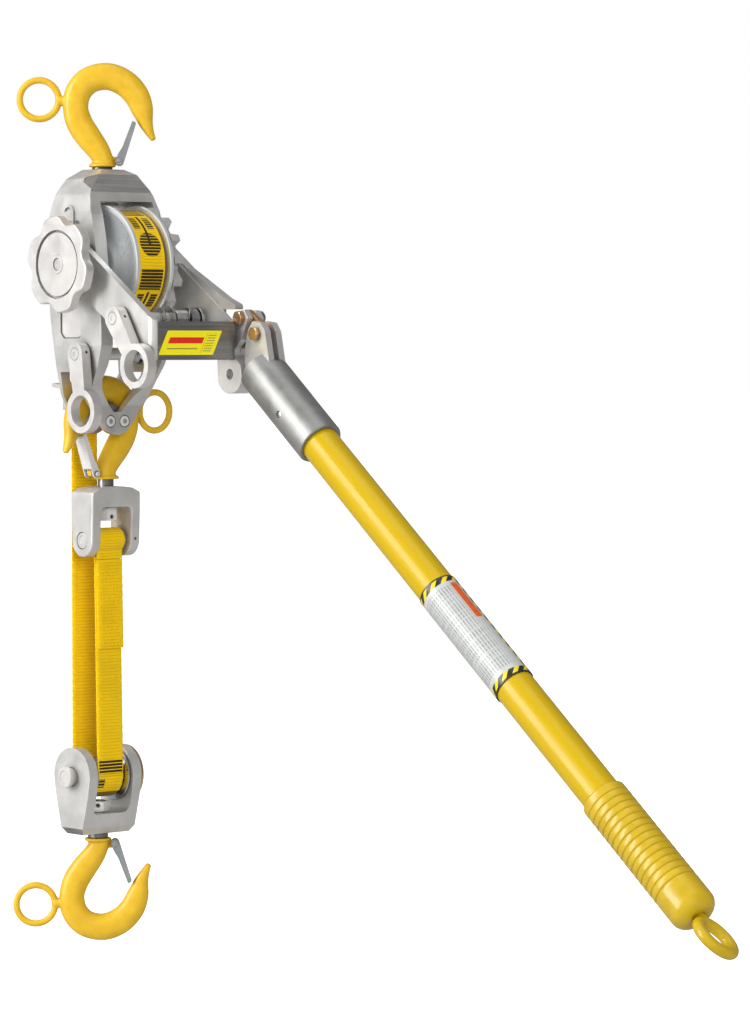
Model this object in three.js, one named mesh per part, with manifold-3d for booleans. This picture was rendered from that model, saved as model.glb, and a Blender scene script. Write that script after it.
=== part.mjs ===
// A ratchet-lever web-strap come-along winch.
// Millimetres, +Z up. The origin is on the load line, level with the saddle of the top hook.
// The drum axle lies along X, the hand knob is on the -X side and the lever handle reaches towards -Y.

import * as THREE from 'three';
import { mergeVertices } from 'three/addons/utils/BufferGeometryUtils.js';
import Module from 'manifold-3d';

const wasm = await Module();
wasm.setup();

// ---------------------------------------------------------------- driving dimensions

const GAP = 0.3; // running gap between pieces that touch
const DEG = Math.PI / 180;

// hooks: u points to the hook's mouth, w points from its collar to its crown
const HOOK_SADDLE = 64.3; // collar base to the inside of the crown
const HOOK_COLLAR_R = 11.2;
const HOOK_SHANK_R = 6.7;
const HOOK_RING = { u: -52.6, w: 56.2, radius: 16.2, wire: 2.85 };
const LATCH_PIVOT = { u: 14.4, w: 4.6 };
const LATCH_TIP = { u: 26.3, w: 38 };
const HOOK_FACING = -38 * DEG; // the top and bottom hooks' mouths point this way from +X

// load line
const TOP_COLLAR_Z = -HOOK_SADDLE;
const END_LINE = { x: 3, y: 0.2 }; // dead end: hook, clevis and strap loop
const END_COLLAR_Z = -325.8;
const BLOCK_LINE = { x: 0, y: 8 }; // lower block
const BOTTOM_COLLAR_Z = -629;

// frame casting
const HEAD_TOP_Z = -66.6;
const FRAME_LEFT = { outer: -36.6, inner: -24.5 };
const FRAME_RIGHT = { outer: 37, inner: 31 };
const YOKE = { top: -236, apex: -269.3, bottom: -288.4, screwX: 7.4, screwZ: -277 };
const YOKE_BAY = { front: -13, rear: 13.4 }; // room for the dead-end hook

// drum and ratchet
const AXLE = { y: -21.6, z: -146.8 };
const SHAFT_R = 8;
const DRUM_R = 50;
const DRUM_HALF = 15.8;
const FLANGE = 4.2;
const WRAP_HALF = 15.2; // the wound laps wander across the drum
const CORE_R = 29.7;
const WRAP_R = 46;
const RATCHET = { x0: 20.3, x1: 29.7, teeth: 16, root: 42, tip: 50 };
const KNOB = { x0: -65, x1: -56.3, radius: 40, lobes: 6, phase: 78, scallop: 12.5, scallopAt: 46.5 };

// strap
const STRAP_HALF = 13.5;
const STRAP_T = 3;

// lever and pawls
const LEVER_LEFT = { x0: -45, x1: -38.6 };
const LEVER_RIGHT = { x0: 38.6, x1: 44.4, railX0: 41.6, railX1: 50 };
const LEVER_HUB_R = 20.5;
const LEVER_TILT = 34.2; // the arms' upper edge leaves the axle at this angle
const CROSSBAR = { front: -124, back: -114.5, top: -194, bottom: -225.5 };
const DRIVE_SHAFT = { y: -84.3, z: -191.5, r: 5.2 };
const HOLD_SHAFT = { y: -21.6, z: -220.7, r: 5.2 };
const PAWL_X = { x0: 20.8, x1: 29.2 };
const PAWL_HUB_R = 9;
const RING_LEVER = { length: 48, hub: 9.6, neck: 6.6, outer: 18.3, hole: 13 };
const DRIVE_NOSE = 236; // degrees round the axle from +Y
const HOLD_NOSE = 288;
const SPRING = { x0: 6, x1: 20, wire: 2.6 };

// handle, along its own axis from the socket's top face
const HANDLE = { x: 54, y: -142, z: -233.4, angle: 128.75 * DEG };
const SOCKET = { radius: 19.75, length: 96 };
const TUBE = { radius: 15.875, wall: 3.2, start: 12, end: 628 };
const SLEEVE = { start: 277, end: 390, radius: 16.9 };
const GRIP = { start: 515, end: 644, radius: 18.65 };
const WASHER_R = 8.6;
const END_RING = { mid: 666.4, half: 17.2, band: 4.8, turn: -17 * DEG };
const RIVET = { s: 58, r: 2.6, half: 19.4 };
const BOLT_1 = { y: -126, z: -191 };
const BOLT_2 = { y: -146, z: -204 };
const BRACKET_PIN = { y: -112, z: -237.5 };
const LINK = { x0: 51.6, x1: 56.4, end: 7 };
const LINK_BOLT_R = 3.2;
const BRACKET_X = { x0: 45.2, x1: 62.8 };

// clevis at the strap's dead end
const CLEVIS = { half: 25.5, slot: 16, depth: 15, top: -331.8, under: -349.2, pinZ: -377, pinR: 7, foot: 14 };

// lower block
const BLOCK = { outer: 27.9, inner: 18.6, pinZ: -575.7, round: 24.5, floor: -607, bottom: -624.5, pinR: 7.5 };
const SHEAVE = { core: 15.2, flange: 22, half: 17.6 };
const PIN_DISC_R = 24;

// ---------------------------------------------------------------- materials

function finish(color, roughness, metalness) {
  return new THREE.MeshStandardMaterial({ color, roughness, metalness });
}

const ALUMINIUM = finish(0xb9b6b1, 0.5, 1);
const PALE_ALUMINIUM = finish(0xcfcac5, 0.55, 1);
const STEEL = finish(0x8f9194, 0.35, 1);
const ZINC = finish(0xb5bcc0, 0.22, 1);
const CHROMATE = finish(0xc78a5c, 0.35, 1);
const YELLOW_PAINT = finish(0xf0c22e, 0.42, 0);
const YELLOW_TUBE = finish(0xebc800, 0.2, 0);
const YELLOW_VINYL = finish(0xe6c21a, 0.4, 0);
const WEBBING = finish(0xf0bd00, 0.8, 0);
const LABEL = finish(0xf2e300, 0.4, 0);
const WHITE_LABEL = finish(0xeeeeea, 0.4, 0);

// ---------------------------------------------------------------- solids

// A closed three.js geometry as a manifold solid with its faces pointing out.
function solid(geometry) {
  const bare = geometry.index ? geometry.toNonIndexed() : geometry.clone();
  bare.deleteAttribute('normal');
  bare.deleteAttribute('uv');
  const merged = mergeVertices(bare, 1e-3);
  const position = merged.attributes.position;
  const triangles = [];
  let volume = 0;
  const a = new THREE.Vector3();
  const b = new THREE.Vector3();
  const c = new THREE.Vector3();
  for (let i = 0; i < merged.index.count; i += 3) {
    const [p, q, r] = [merged.index.getX(i), merged.index.getX(i + 1), merged.index.getX(i + 2)];
    if (p === q || q === r || r === p) continue;
    triangles.push(p, q, r);
    a.fromBufferAttribute(position, p);
    b.fromBufferAttribute(position, q);
    c.fromBufferAttribute(position, r);
    volume += a.dot(b.cross(c));
  }
  if (volume < 0) triangles.reverse();
  const mesh = new wasm.Mesh({
    numProp: 3,
    vertProperties: new Float32Array(position.array),
    triVerts: new Uint32Array(triangles),
  });
  return new wasm.Manifold(mesh);
}

function geometryOf(manifold) {
  const mesh = manifold.getMesh();
  const geometry = new THREE.BufferGeometry();
  geometry.setAttribute('position', new THREE.BufferAttribute(mesh.vertProperties, 3));
  geometry.setIndex(new THREE.BufferAttribute(mesh.triVerts, 1));
  geometry.computeVertexNormals();
  return geometry;
}

function piece(name, material, manifold) {
  const mesh = new THREE.Mesh(geometryOf(manifold), material);
  mesh.name = name;
  return mesh;
}

function join(...solids) {
  return solids.reduce((whole, part) => whole.add(part));
}

function cut(whole, ...tools) {
  return tools.reduce((rest, tool) => rest.subtract(tool), whole);
}

function outline(points) {
  return new THREE.Shape(points.map(([x, y]) => new THREE.Vector2(x, y)));
}

// Points of an arc about a centre, from one angle to another, in degrees.
function arc(cx, cy, radius, from, to, steps) {
  return Array.from({ length: steps + 1 }, (_, i) => {
    const angle = (from + ((to - from) * i) / steps) * DEG;
    return [cx + radius * Math.cos(angle), cy + radius * Math.sin(angle)];
  });
}

// The outline of a strip with round ends of two radii about two centres.
function roundedLink([ax, ay], ra, [bx, by], rb, steps = 8) {
  const heading = Math.atan2(by - ay, bx - ax) / DEG;
  const distance = Math.hypot(bx - ax, by - ay);
  const lean = Math.asin((ra - rb) / distance) / DEG;
  const spread = 90 - lean;
  return [
    ...arc(ax, ay, ra, heading + spread, heading + 360 - spread, steps),
    ...arc(bx, by, rb, heading - spread, heading + spread, steps),
  ];
}

const AXES = {
  // each outline's first axis, second axis and direction of extrusion
  x: [new THREE.Vector3(0, 1, 0), new THREE.Vector3(0, 0, 1), new THREE.Vector3(1, 0, 0)],
  y: [new THREE.Vector3(1, 0, 0), new THREE.Vector3(0, 0, 1), new THREE.Vector3(0, -1, 0)],
};

// An outline extruded along x or y between two coordinates.
function extrude(axis, shape, from, to) {
  const geometry = new THREE.ExtrudeGeometry(shape, { depth: to - from, steps: 1, bevelEnabled: false });
  const start = axis === 'y' ? -to : from;
  const placed = new THREE.Matrix4().makeBasis(...AXES[axis]);
  placed.setPosition(AXES[axis][2].clone().multiplyScalar(start));
  return solid(geometry.applyMatrix4(placed));
}

function box(x0, x1, y0, y1, z0, z1) {
  const geometry = new THREE.BoxGeometry(x1 - x0, y1 - y0, z1 - z0);
  geometry.translate((x0 + x1) / 2, (y0 + y1) / 2, (z0 + z1) / 2);
  return solid(geometry);
}

// A cylinder along x, y or z; a and b are its centre on the two other axes, in x, y, z order.
function rod(axis, a, b, radius, from, to, sides = 16) {
  const geometry = new THREE.CylinderGeometry(radius, radius, to - from, sides);
  const middle = (from + to) / 2;
  if (axis === 'x') geometry.rotateZ(Math.PI / 2).translate(middle, a, b);
  if (axis === 'y') geometry.translate(a, middle, b);
  if (axis === 'z') geometry.rotateX(Math.PI / 2).translate(a, b, middle);
  return solid(geometry);
}

// A profile of [radius, height] turned about x or z.
function turned(axis, a, b, profile, sides = 24) {
  const geometry = new THREE.LatheGeometry(profile.map(([r, h]) => new THREE.Vector2(r, h)), sides);
  if (axis === 'x') geometry.rotateZ(-Math.PI / 2).translate(0, a, b);
  if (axis === 'z') geometry.rotateX(Math.PI / 2).translate(a, b, 0);
  return solid(geometry);
}

function ring(axis, a, b, inner, outer, from, to, sides = 16) {
  return cut(rod(axis, a, b, outer, from, to, sides), rod(axis, a, b, inner, from - 1, to + 1, sides));
}

function hexNut(axis, a, b, radius, bore, from, to) {
  return cut(rod(axis, a, b, radius, from, to, 6), rod(axis, a, b, bore, from - 1, to + 1, 12));
}

function ringSolid(radius, wire, u, w) {
  const geometry = new THREE.TorusGeometry(radius, wire, 6, 18);
  geometry.rotateX(Math.PI / 2).translate(u, 0, w);
  return solid(geometry);
}

// ---------------------------------------------------------------- hooks

// The forged bar from neck to point: centre u and w, width in the hook's plane, thickness across it.
const HOOK_BAR = [
  [1.4, 1.5, 15.6, 16],
  [1.5, 5, 16.2, 16.5],
  [-3.6, 14.5, 19.2, 17],
  [-11.8, 25.5, 21.6, 18],
  [-19, 37, 22, 18],
  [-22.2, 50, 21.2, 18],
  [-19.4, 63.5, 22, 18],
  [-9.8, 73, 22.4, 17.6],
  [4.9, 75.7, 22.6, 17.6],
  [18.6, 70.5, 22.4, 17.4],
  [28.4, 60.5, 21.2, 16.4],
  [33.4, 48.8, 18.6, 14.6],
  [36.3, 38, 12.6, 12],
  [39.4, 30, 8, 9],
  [42.6, 23.4, 4.6, 6],
];

// A cylinder bent along the bar's centre line, its section following the widths.
function hookBar() {
  const steps = 18;
  const sides = 10;
  const path = new THREE.CatmullRomCurve3(HOOK_BAR.map(([u, w]) => new THREE.Vector3(u, 0, w)));
  const geometry = new THREE.CylinderGeometry(1, 1, 1, sides, steps);
  const position = geometry.attributes.position;
  for (let i = 0; i < position.count; i++) {
    const t = position.getY(i) + 0.5;
    const station = t * (HOOK_BAR.length - 1);
    const low = Math.min(Math.floor(station), HOOK_BAR.length - 2);
    const mix = station - low;
    const width = HOOK_BAR[low][2] * (1 - mix) + HOOK_BAR[low + 1][2] * mix;
    const thickness = HOOK_BAR[low][3] * (1 - mix) + HOOK_BAR[low + 1][3] * mix;
    const centre = path.getPoint(t);
    const along = path.getTangent(t);
    const across = position.getX(i) * (width / 2);
    const depth = position.getZ(i) * (thickness / 2);
    position.setXYZ(i, centre.x - along.z * across, depth, centre.z + along.x * across);
  }
  return solid(geometry);
}

function hookForging(shankLength) {
  const lugReach = LATCH_PIVOT.u + 3.4;
  const collar = [
    [0, -shankLength], [HOOK_SHANK_R, -shankLength], [HOOK_SHANK_R, 0],
    [HOOK_COLLAR_R, 0], [HOOK_COLLAR_R, 2], [8.2, 5], [0, 5],
  ];
  return cut(
    join(
      hookBar(),
      turned('z', 0, 0, collar, 14),
      box(6, lugReach, -2.6, 2.6, 2.2, 8.2),
      ringSolid(HOOK_RING.radius, HOOK_RING.wire, HOOK_RING.u, HOOK_RING.w),
      rod('x', 0, HOOK_RING.w - 1, 4.2, HOOK_RING.u + HOOK_RING.radius - 1, -27, 10),
    ),
    rod('y', LATCH_PIVOT.u, LATCH_PIVOT.w, 1.9, -4, 4, 10),
    rod('y', LATCH_PIVOT.u, LATCH_PIVOT.w, 4.2, -9, -4.6, 12),
    rod('y', LATCH_PIVOT.u, LATCH_PIVOT.w, 4.2, 4.6, 9, 12),
  );
}

// A channel-section latch of bent sheet, closed towards the mouth of the hook.
function latch() {
  const lean = Math.atan2(LATCH_TIP.w - LATCH_PIVOT.w, LATCH_TIP.u - LATCH_PIVOT.u) / DEG;
  const length = Math.hypot(LATCH_TIP.w - LATCH_PIVOT.w, LATCH_TIP.u - LATCH_PIVOT.u);
  const side = [...arc(0, 0, 3.6, 90, 270, 6), [5, -3.6], [length, -2.4], [length, 1.2], [9, 2.4]];
  const blank = extrude('y', outline(side), -6.2, 6.2);
  const inside = box(-8, length + 1, -4.9, 4.9, -2.2, 6);
  const pivotRoom = box(-8, 5.4, -4.9, 4.9, -8, 8);
  const eyes = rod('y', 0, 0, 1.9, -8, 8, 10);
  const channel = cut(blank, inside, pivotRoom, eyes);
  return channel.rotate([0, -lean, 0]).translate([LATCH_PIVOT.u, 0, LATCH_PIVOT.w]);
}

function latchPin() {
  const stem = rod('y', LATCH_PIVOT.u, LATCH_PIVOT.w, 1.6, -7.4, 7.4, 10);
  const heads = [-7.4, 6.6].map((y) => rod('y', LATCH_PIVOT.u, LATCH_PIVOT.w, 2.6, y, y + 0.8, 10));
  return join(stem, ...heads);
}

function hook(name, shankLength, nut) {
  const group = new THREE.Group();
  group.add(
    piece(`${name}_hook`, YELLOW_PAINT, hookForging(shankLength)),
    piece(`${name}_latch`, ZINC, latch()),
    piece(`${name}_latch_pin`, ZINC, latchPin()),
    piece(`${name}_swivel_nut`, STEEL, hexNut('z', 0, 0, nut.radius, HOOK_SHANK_R + GAP, -nut.from, -nut.to)),
  );
  return group;
}

function hooks() {
  const top = hook('top', 28, { radius: 11, from: 26.5, to: 18.5 });
  top.position.set(0, 0, TOP_COLLAR_Z);
  top.rotation.z = HOOK_FACING;

  const end = hook('end', 34, { radius: 9.6, from: 35, to: 23.8 });
  end.position.set(END_LINE.x, END_LINE.y, END_COLLAR_Z);
  end.rotation.z = Math.PI;

  const hanging = hook('bottom', 32, { radius: 9.6, from: 31.4, to: 22.4 });
  hanging.rotation.x = Math.PI;
  const bottom = new THREE.Group();
  bottom.position.set(BLOCK_LINE.x, BLOCK_LINE.y, BOTTOM_COLLAR_Z);
  bottom.rotation.z = HOOK_FACING;
  bottom.add(hanging);

  const bore = HOOK_SHANK_R + GAP;
  const topWasher = ring('z', 0, 0, bore, WASHER_R, HEAD_TOP_Z + GAP, TOP_COLLAR_Z - GAP);
  const bottomWasher = ring('z', 0, BLOCK_LINE.y, bore, WASHER_R, BOTTOM_COLLAR_Z + GAP, BLOCK.bottom - GAP);
  return [
    top,
    end,
    bottom,
    piece('top_thrust_washer', ZINC, topWasher),
    piece('bottom_thrust_washer', ZINC, bottomWasher),
  ];
}

// ---------------------------------------------------------------- frame casting

function frameCasting() {
  const side = outline([
    [-14, HEAD_TOP_Z], [-22, -71], [-25.5, -86], [-32, -105], [-36.5, -125], [-41, -160], [-45, -198],
    [-45, -214], [-38.5, -230], [-30, -243], [-22.5, -256], [-20, -264], [-20, YOKE.bottom],
    [17, YOKE.bottom], [17, -246],
    [19.5, -215], [25, -185], [26.2, -112], [23, -97], [19.5, -82], [12, HEAD_TOP_Z],
  ]);
  const front = outline([
    [-12, HEAD_TOP_Z], [-25.6, -74.5], [-33.4, -88], [-36.6, -102], [-36.6, -214], [-35, -232], [-31, -256],
    [-15.5, -279.5], ...arc(0, -272, 16.4, 210, 330, 8), [15.5, -279.5],
    [31.4, -256], [35.4, -232], [37, -214], [37, -102], [33.4, -88], [25.6, -74.5], [12, HEAD_TOP_Z],
  ]);
  const shell = extrude('x', side, FRAME_LEFT.outer, FRAME_RIGHT.outer)
    .intersect(extrude('y', front, -50, 30));
  const window = outline([
    [FRAME_LEFT.inner, -102], [FRAME_LEFT.inner + 5, -97], [FRAME_RIGHT.inner - 5, -97],
    [FRAME_RIGHT.inner, -102], [FRAME_RIGHT.inner, -238], [20.7, -250.4], [4, YOKE.apex],
    [-4, YOKE.apex], [-20.7, -250.4],
    [FRAME_LEFT.inner, -245],
  ]);
  const drumRoom = rod('x', AXLE.y, AXLE.z, DRUM_R + 3.5, FRAME_LEFT.inner, FRAME_RIGHT.inner, 28);
  const nutRoom = rod('z', 0, 0, 13.5, -110, -82.5, 16);
  const hookRoom = box(-60, 60, YOKE_BAY.front, YOKE_BAY.rear, -300, YOKE.top);
  const plateRecess = box(-40, -34.3, -17.4, 10.4, -208, -110);
  const sides = [-YOKE.screwX, YOKE.screwX];
  const screws = sides.map((x) => rod('y', x, YOKE.screwZ, 2.6 + GAP, -30, YOKE_BAY.front + 1, 14));
  const heads = sides.map((x) => rod('y', x, YOKE.screwZ, 4.6 + GAP, -30, -16.8, 16));
  return cut(
    shell,
    extrude('y', window, -60, 40),
    drumRoom,
    nutRoom,
    hookRoom,
    plateRecess,
    rod('z', 0, 0, HOOK_SHANK_R + GAP, -100, -60),
    rod('x', AXLE.y, AXLE.z, SHAFT_R + GAP, -50, 50),
    rod('x', HOLD_SHAFT.y, HOLD_SHAFT.z, HOLD_SHAFT.r + GAP, -50, 50),
    ...screws,
    ...heads,
  );
}

// The round-topped bar across the yoke that the dead-end hook hangs on.
function anchorBar() {
  const section = outline([...arc(-0.8, -276.4, 13.4, -38, 218, 18)]);
  const bar = extrude('y', section, YOKE_BAY.front + GAP, YOKE_BAY.rear - GAP);
  const threads = [-1, 1].map((s) => rod('y', s * YOKE.screwX, YOKE.screwZ, 2.6 + GAP, -30, 4, 14));
  return cut(bar, ...threads);
}

function anchorScrew(side) {
  const x = side * YOKE.screwX;
  const body = join(
    rod('y', x, YOKE.screwZ, 4.6, -20.6, -16.8 - GAP, 16),
    rod('y', x, YOKE.screwZ, 2.6, -17.5, 3.4, 14),
  );
  return cut(body, rod('y', x, YOKE.screwZ, 2.1, -22, -18.4, 6));
}

// A bent sheet behind the rear fall of the strap, on two arms from the yoke's rear wall.
function strapGuide() {
  const bar = outline([
    [26.2, -268], [26.2, -256.1], ...arc(35.6, -256, 9.6, 180, 90, 5), [44, -245.4], [44, -248.6],
    ...arc(35.4, -256, 6, 100, 180, 5), [29.4, -268],
  ]);
  const arm = outline([[17.3, -266], [17.3, -250], [27, -254], [29.4, -258], [29.4, -268]]);
  const sheet = cut(extrude('x', bar, -20, 20), box(-16.4, 16.4, 20, 28.4, -275, -250));
  const arms = [-1, 1].map((s) => extrude('x', arm, s * 18.2 - 1.8, s * 18.2 + 1.8));
  return join(sheet, ...arms);
}

function frame() {
  const nameplate = outline([
    [-16.4, -205], [-13.4, -207], [5.6, -207], [9.4, -203], [9.4, -176], [-16.4, -176],
  ]);
  return [
    piece('frame_casting', ALUMINIUM, frameCasting()),
    piece('frame_nameplate', PALE_ALUMINIUM, extrude('x', nameplate, -35.6, -34.6)),
    piece('anchor_bar', STEEL, anchorBar()),
    piece('anchor_screw_left', ZINC, anchorScrew(-1)),
    piece('anchor_screw_right', ZINC, anchorScrew(1)),
    piece('strap_guide', ALUMINIUM, strapGuide()),
  ];
}

// ---------------------------------------------------------------- drum

function drum() {
  const rim = DRUM_HALF + FLANGE;
  const profile = [
    [SHAFT_R + GAP, -rim], [18, -rim], [24, -rim + 2.6], [42, -rim + 1.6], [46.5, -rim], [DRUM_R, -rim],
    [DRUM_R, -DRUM_HALF], [CORE_R, -DRUM_HALF], [CORE_R, DRUM_HALF], [DRUM_R, DRUM_HALF], [DRUM_R, rim],
    [SHAFT_R + GAP, rim], [SHAFT_R + GAP, -rim],
  ];
  return turned('x', AXLE.y, AXLE.z, profile, 28);
}

function ratchetWheel() {
  const step = 360 / RATCHET.teeth;
  const points = Array.from({ length: RATCHET.teeth }, (_, i) => [
    ...arc(0, 0, RATCHET.root, i * step, i * step + step * 0.28, 1),
    ...arc(0, 0, RATCHET.tip, i * step + step * 0.66, i * step + step * 0.94, 1),
  ]).flat();
  const shape = outline(points.map(([y, z]) => [AXLE.y + y, AXLE.z + z]));
  return cut(extrude('x', shape, RATCHET.x0, RATCHET.x1), rod('x', AXLE.y, AXLE.z, SHAFT_R + GAP, 0, 50));
}

function handKnob() {
  const steps = 72;
  const lobe = 360 / KNOB.lobes;
  const points = Array.from({ length: steps }, (_, i) => {
    const angle = (i / steps) * 360;
    const offset = (((angle - KNOB.phase) % lobe) + lobe) % lobe - lobe / 2;
    const aside = KNOB.scallopAt * Math.sin(offset * DEG);
    const depth = Math.sqrt(Math.max(0, KNOB.scallop ** 2 - aside ** 2));
    const inner = depth > 0 ? KNOB.scallopAt * Math.cos(offset * DEG) - depth : KNOB.radius;
    const radius = Math.min(KNOB.radius, inner);
    return [AXLE.y + radius * Math.cos(angle * DEG), AXLE.z + radius * Math.sin(angle * DEG)];
  });
  return cut(
    extrude('x', outline(points), KNOB.x0, KNOB.x1),
    rod('x', AXLE.y, AXLE.z, 28, KNOB.x0 - 1, KNOB.x0 + 1.2, 24),
    rod('x', AXLE.y, AXLE.z, SHAFT_R + GAP, -80, -40),
  );
}

function strapWrap() {
  return ring('x', AXLE.y, AXLE.z, CORE_R + GAP, WRAP_R, -WRAP_HALF, WRAP_HALF, 28);
}

function drumPieces() {
  const spacer = ring('x', AXLE.y, AXLE.z, SHAFT_R + GAP, 14, KNOB.x1 + GAP, LEVER_LEFT.x0 - GAP);
  return [
    piece('drum', ZINC, drum()),
    piece('ratchet_wheel', PALE_ALUMINIUM, ratchetWheel()),
    piece('drum_shaft', STEEL, rod('x', AXLE.y, AXLE.z, SHAFT_R, KNOB.x0 + 0.4, 52)),
    piece('hand_knob', PALE_ALUMINIUM, handKnob()),
    piece('knob_spacer', ALUMINIUM, spacer),
    piece('strap_drum_wrap', WEBBING, strapWrap()),
  ];
}

// ---------------------------------------------------------------- lever

function leverArm({ x0, x1 }) {
  const band = outline([
    [CROSSBAR.front, CROSSBAR.bottom], [CROSSBAR.front, CROSSBAR.top],
    ...arc(AXLE.y, AXLE.z, 18.6, 90 + LEVER_TILT, -90 + LEVER_TILT, 10),
    [-32.8, -174], [-61, -192], [-110, CROSSBAR.bottom],
  ]);
  return extrude('x', band, x0, x1);
}

function leverFrame() {
  const bar = outline([
    [-45, CROSSBAR.bottom], [-45, CROSSBAR.top], [43, CROSSBAR.top], [43, CROSSBAR.bottom],
  ]);
  const rail = outline([
    [-98, -202], [-98, -183.8], [-124, -183.8], [-124, -180], [-110, -174.5], [-61.6, -149.5],
    ...arc(AXLE.y, AXLE.z, LEVER_HUB_R, 118, 60, 4), [-14, -152], [-60, -163],
  ]);
  const barEnd = box(40.8, 60, -140, -109, -240, -184);
  const bracketRoom = box(LEVER_RIGHT.x1 + GAP, 60, -140, -98, -240, -184);
  return cut(
    join(
      leverArm(LEVER_LEFT),
      leverArm(LEVER_RIGHT),
      extrude('x', rail, LEVER_RIGHT.railX0, LEVER_RIGHT.railX1),
      rod('x', AXLE.y, AXLE.z, LEVER_HUB_R, LEVER_RIGHT.x0, LEVER_RIGHT.railX1, 28),
      extrude('y', bar, CROSSBAR.front, CROSSBAR.back),
    ),
    barEnd,
    bracketRoom,
    rod('x', AXLE.y, AXLE.z, SHAFT_R + GAP, -60, 60),
    rod('x', DRIVE_SHAFT.y, DRIVE_SHAFT.z, DRIVE_SHAFT.r + GAP, -60, 60),
  );
}

// A pawl from its hub to a blunt nose just clear of the ratchet's tips.
function pawl(shaft, noseAngle) {
  const [cosine, sine] = [Math.cos(noseAngle * DEG), Math.sin(noseAngle * DEG)];
  const at = (radius) => [AXLE.y + radius * cosine, AXLE.z + radius * sine];
  const nose = at(RATCHET.tip + 1.2);
  const outward = at(RATCHET.tip + 4.2);
  const body = outline(roundedLink([shaft.y, shaft.z], PAWL_HUB_R, outward, 2.4, 6));
  const clear = rod('x', AXLE.y, AXLE.z, RATCHET.tip + 0.6, PAWL_X.x0 - 1, PAWL_X.x1 + 1, 40);
  const tooth = rod('x', nose[0], nose[1], 1.4, PAWL_X.x0, PAWL_X.x1, 8);
  return cut(
    join(extrude('x', body, PAWL_X.x0, PAWL_X.x1), tooth),
    clear,
    rod('x', shaft.y, shaft.z, shaft.r + GAP, 0, 50),
  );
}

function ringLever(shaft, towards, x0, x1) {
  const angle = Math.atan2(towards.z - shaft.z, towards.y - shaft.y);
  const { length } = RING_LEVER;
  const centre = [shaft.y + length * Math.cos(angle), shaft.z + length * Math.sin(angle)];
  const arm = outline(roundedLink([shaft.y, shaft.z], RING_LEVER.hub, centre, RING_LEVER.neck, 8));
  return cut(
    join(extrude('x', arm, x0, x1), rod('x', centre[0], centre[1], RING_LEVER.outer, x0, x1, 28)),
    rod('x', centre[0], centre[1], RING_LEVER.hole, x0 - 1, x1 + 1, 24),
    rod('x', shaft.y, shaft.z, shaft.r + GAP, x0 - 1, x1 + 1),
  );
}

// The envelope of a close-wound spring round a pawl's shaft.
function torsionSpring(shaft) {
  return ring('x', shaft.y, shaft.z, shaft.r + GAP, shaft.r + SPRING.wire, SPRING.x0, SPRING.x1);
}

function lever() {
  const slanted = outline([[-40, -221.4], [-30, -201.5], [27, -201.5], [17, -221.4]]);
  const drive = DRIVE_SHAFT;
  return [
    piece('lever_frame', ALUMINIUM, leverFrame()),
    piece('lever_label', LABEL, extrude('y', slanted, CROSSBAR.front - 0.8, CROSSBAR.front - GAP)),
    piece('drive_pawl_shaft', ZINC, rod('x', drive.y, drive.z, drive.r, -56.4, 43.6)),
    piece('drive_pawl_spring', ZINC, torsionSpring(drive)),
    piece('drive_pawl', STEEL, pawl(drive, DRIVE_NOSE)),
    piece('drive_release_ring', PALE_ALUMINIUM, ringLever(drive, { y: -112.4, z: -230 }, -56, -47)),
    piece('hold_pawl_shaft', ZINC, rod('x', HOLD_SHAFT.y, HOLD_SHAFT.z, HOLD_SHAFT.r, -46.8, 38.4)),
    piece('hold_pawl_spring', ZINC, torsionSpring(HOLD_SHAFT)),
    piece('hold_pawl', STEEL, pawl(HOLD_SHAFT, HOLD_NOSE)),
    piece('hold_release_ring', PALE_ALUMINIUM, ringLever(HOLD_SHAFT, { y: -29.4, z: -268.4 }, -46.4, -37.6)),
  ];
}

// ---------------------------------------------------------------- handle and its link

// A solid drawn along local +Z and laid along the handle from its socket's top face.
function alongHandle(manifold) {
  return manifold.rotate([HANDLE.angle / DEG, 0, 0]).translate([HANDLE.x, HANDLE.y, HANDLE.z]);
}

function rivetHole() {
  return rod('x', 0, RIVET.s, RIVET.r + GAP, -30, 30, 12);
}

function handleBracket() {
  const hip = [
    [-119.4, -216], [-117.6, -222], [-126, -230], [-128.6, -246],
    ...arc(BRACKET_PIN.y, BRACKET_PIN.z, 16, 207, 340, 7), [-96, -226], [-110.6, -205],
  ];
  const arm = outline([[-119.6, -185.6], [-131, -184.6], [-135.6, -191], [-127, -209], ...hip]);
  const foot = outline(hip);
  return cut(
    join(
      extrude('x', arm, BRACKET_X.x0, LINK.x0 - GAP),
      extrude('x', arm, LINK.x1 + GAP, BRACKET_X.x1),
      extrude('x', foot, BRACKET_X.x0, BRACKET_X.x1),
    ),
    rod('x', BOLT_1.y, BOLT_1.z, LINK_BOLT_R + GAP, 30, 80, 14),
    rod('x', BRACKET_PIN.y, BRACKET_PIN.z, 4 + GAP, 30, 80, 16),
  );
}

function handleSocket() {
  const ear = outline([
    [-137, -199], [-142, -193.6], [-152, -195], [-157.4, -202], [-163, -228], [-152, -246], [-134, -237],
    [-131, -220], [-133.4, -209],
  ]);
  const barrel = alongHandle(rod('z', 0, 0, SOCKET.radius, 0, SOCKET.length, 28));
  const bore = alongHandle(rod('z', 0, 0, TUBE.radius + GAP, TUBE.start - GAP, SOCKET.length + 1, 28));
  const ears = extrude('x', ear, BRACKET_X.x0, BRACKET_X.x1);
  const slot = box(LINK.x0 - GAP, LINK.x1 + GAP, -175, -120, -226, -180);
  return cut(
    join(barrel, ears),
    bore,
    slot,
    rod('x', BOLT_2.y, BOLT_2.z, LINK_BOLT_R + GAP, 30, 80, 14),
    alongHandle(rivetHole()),
  );
}

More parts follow.
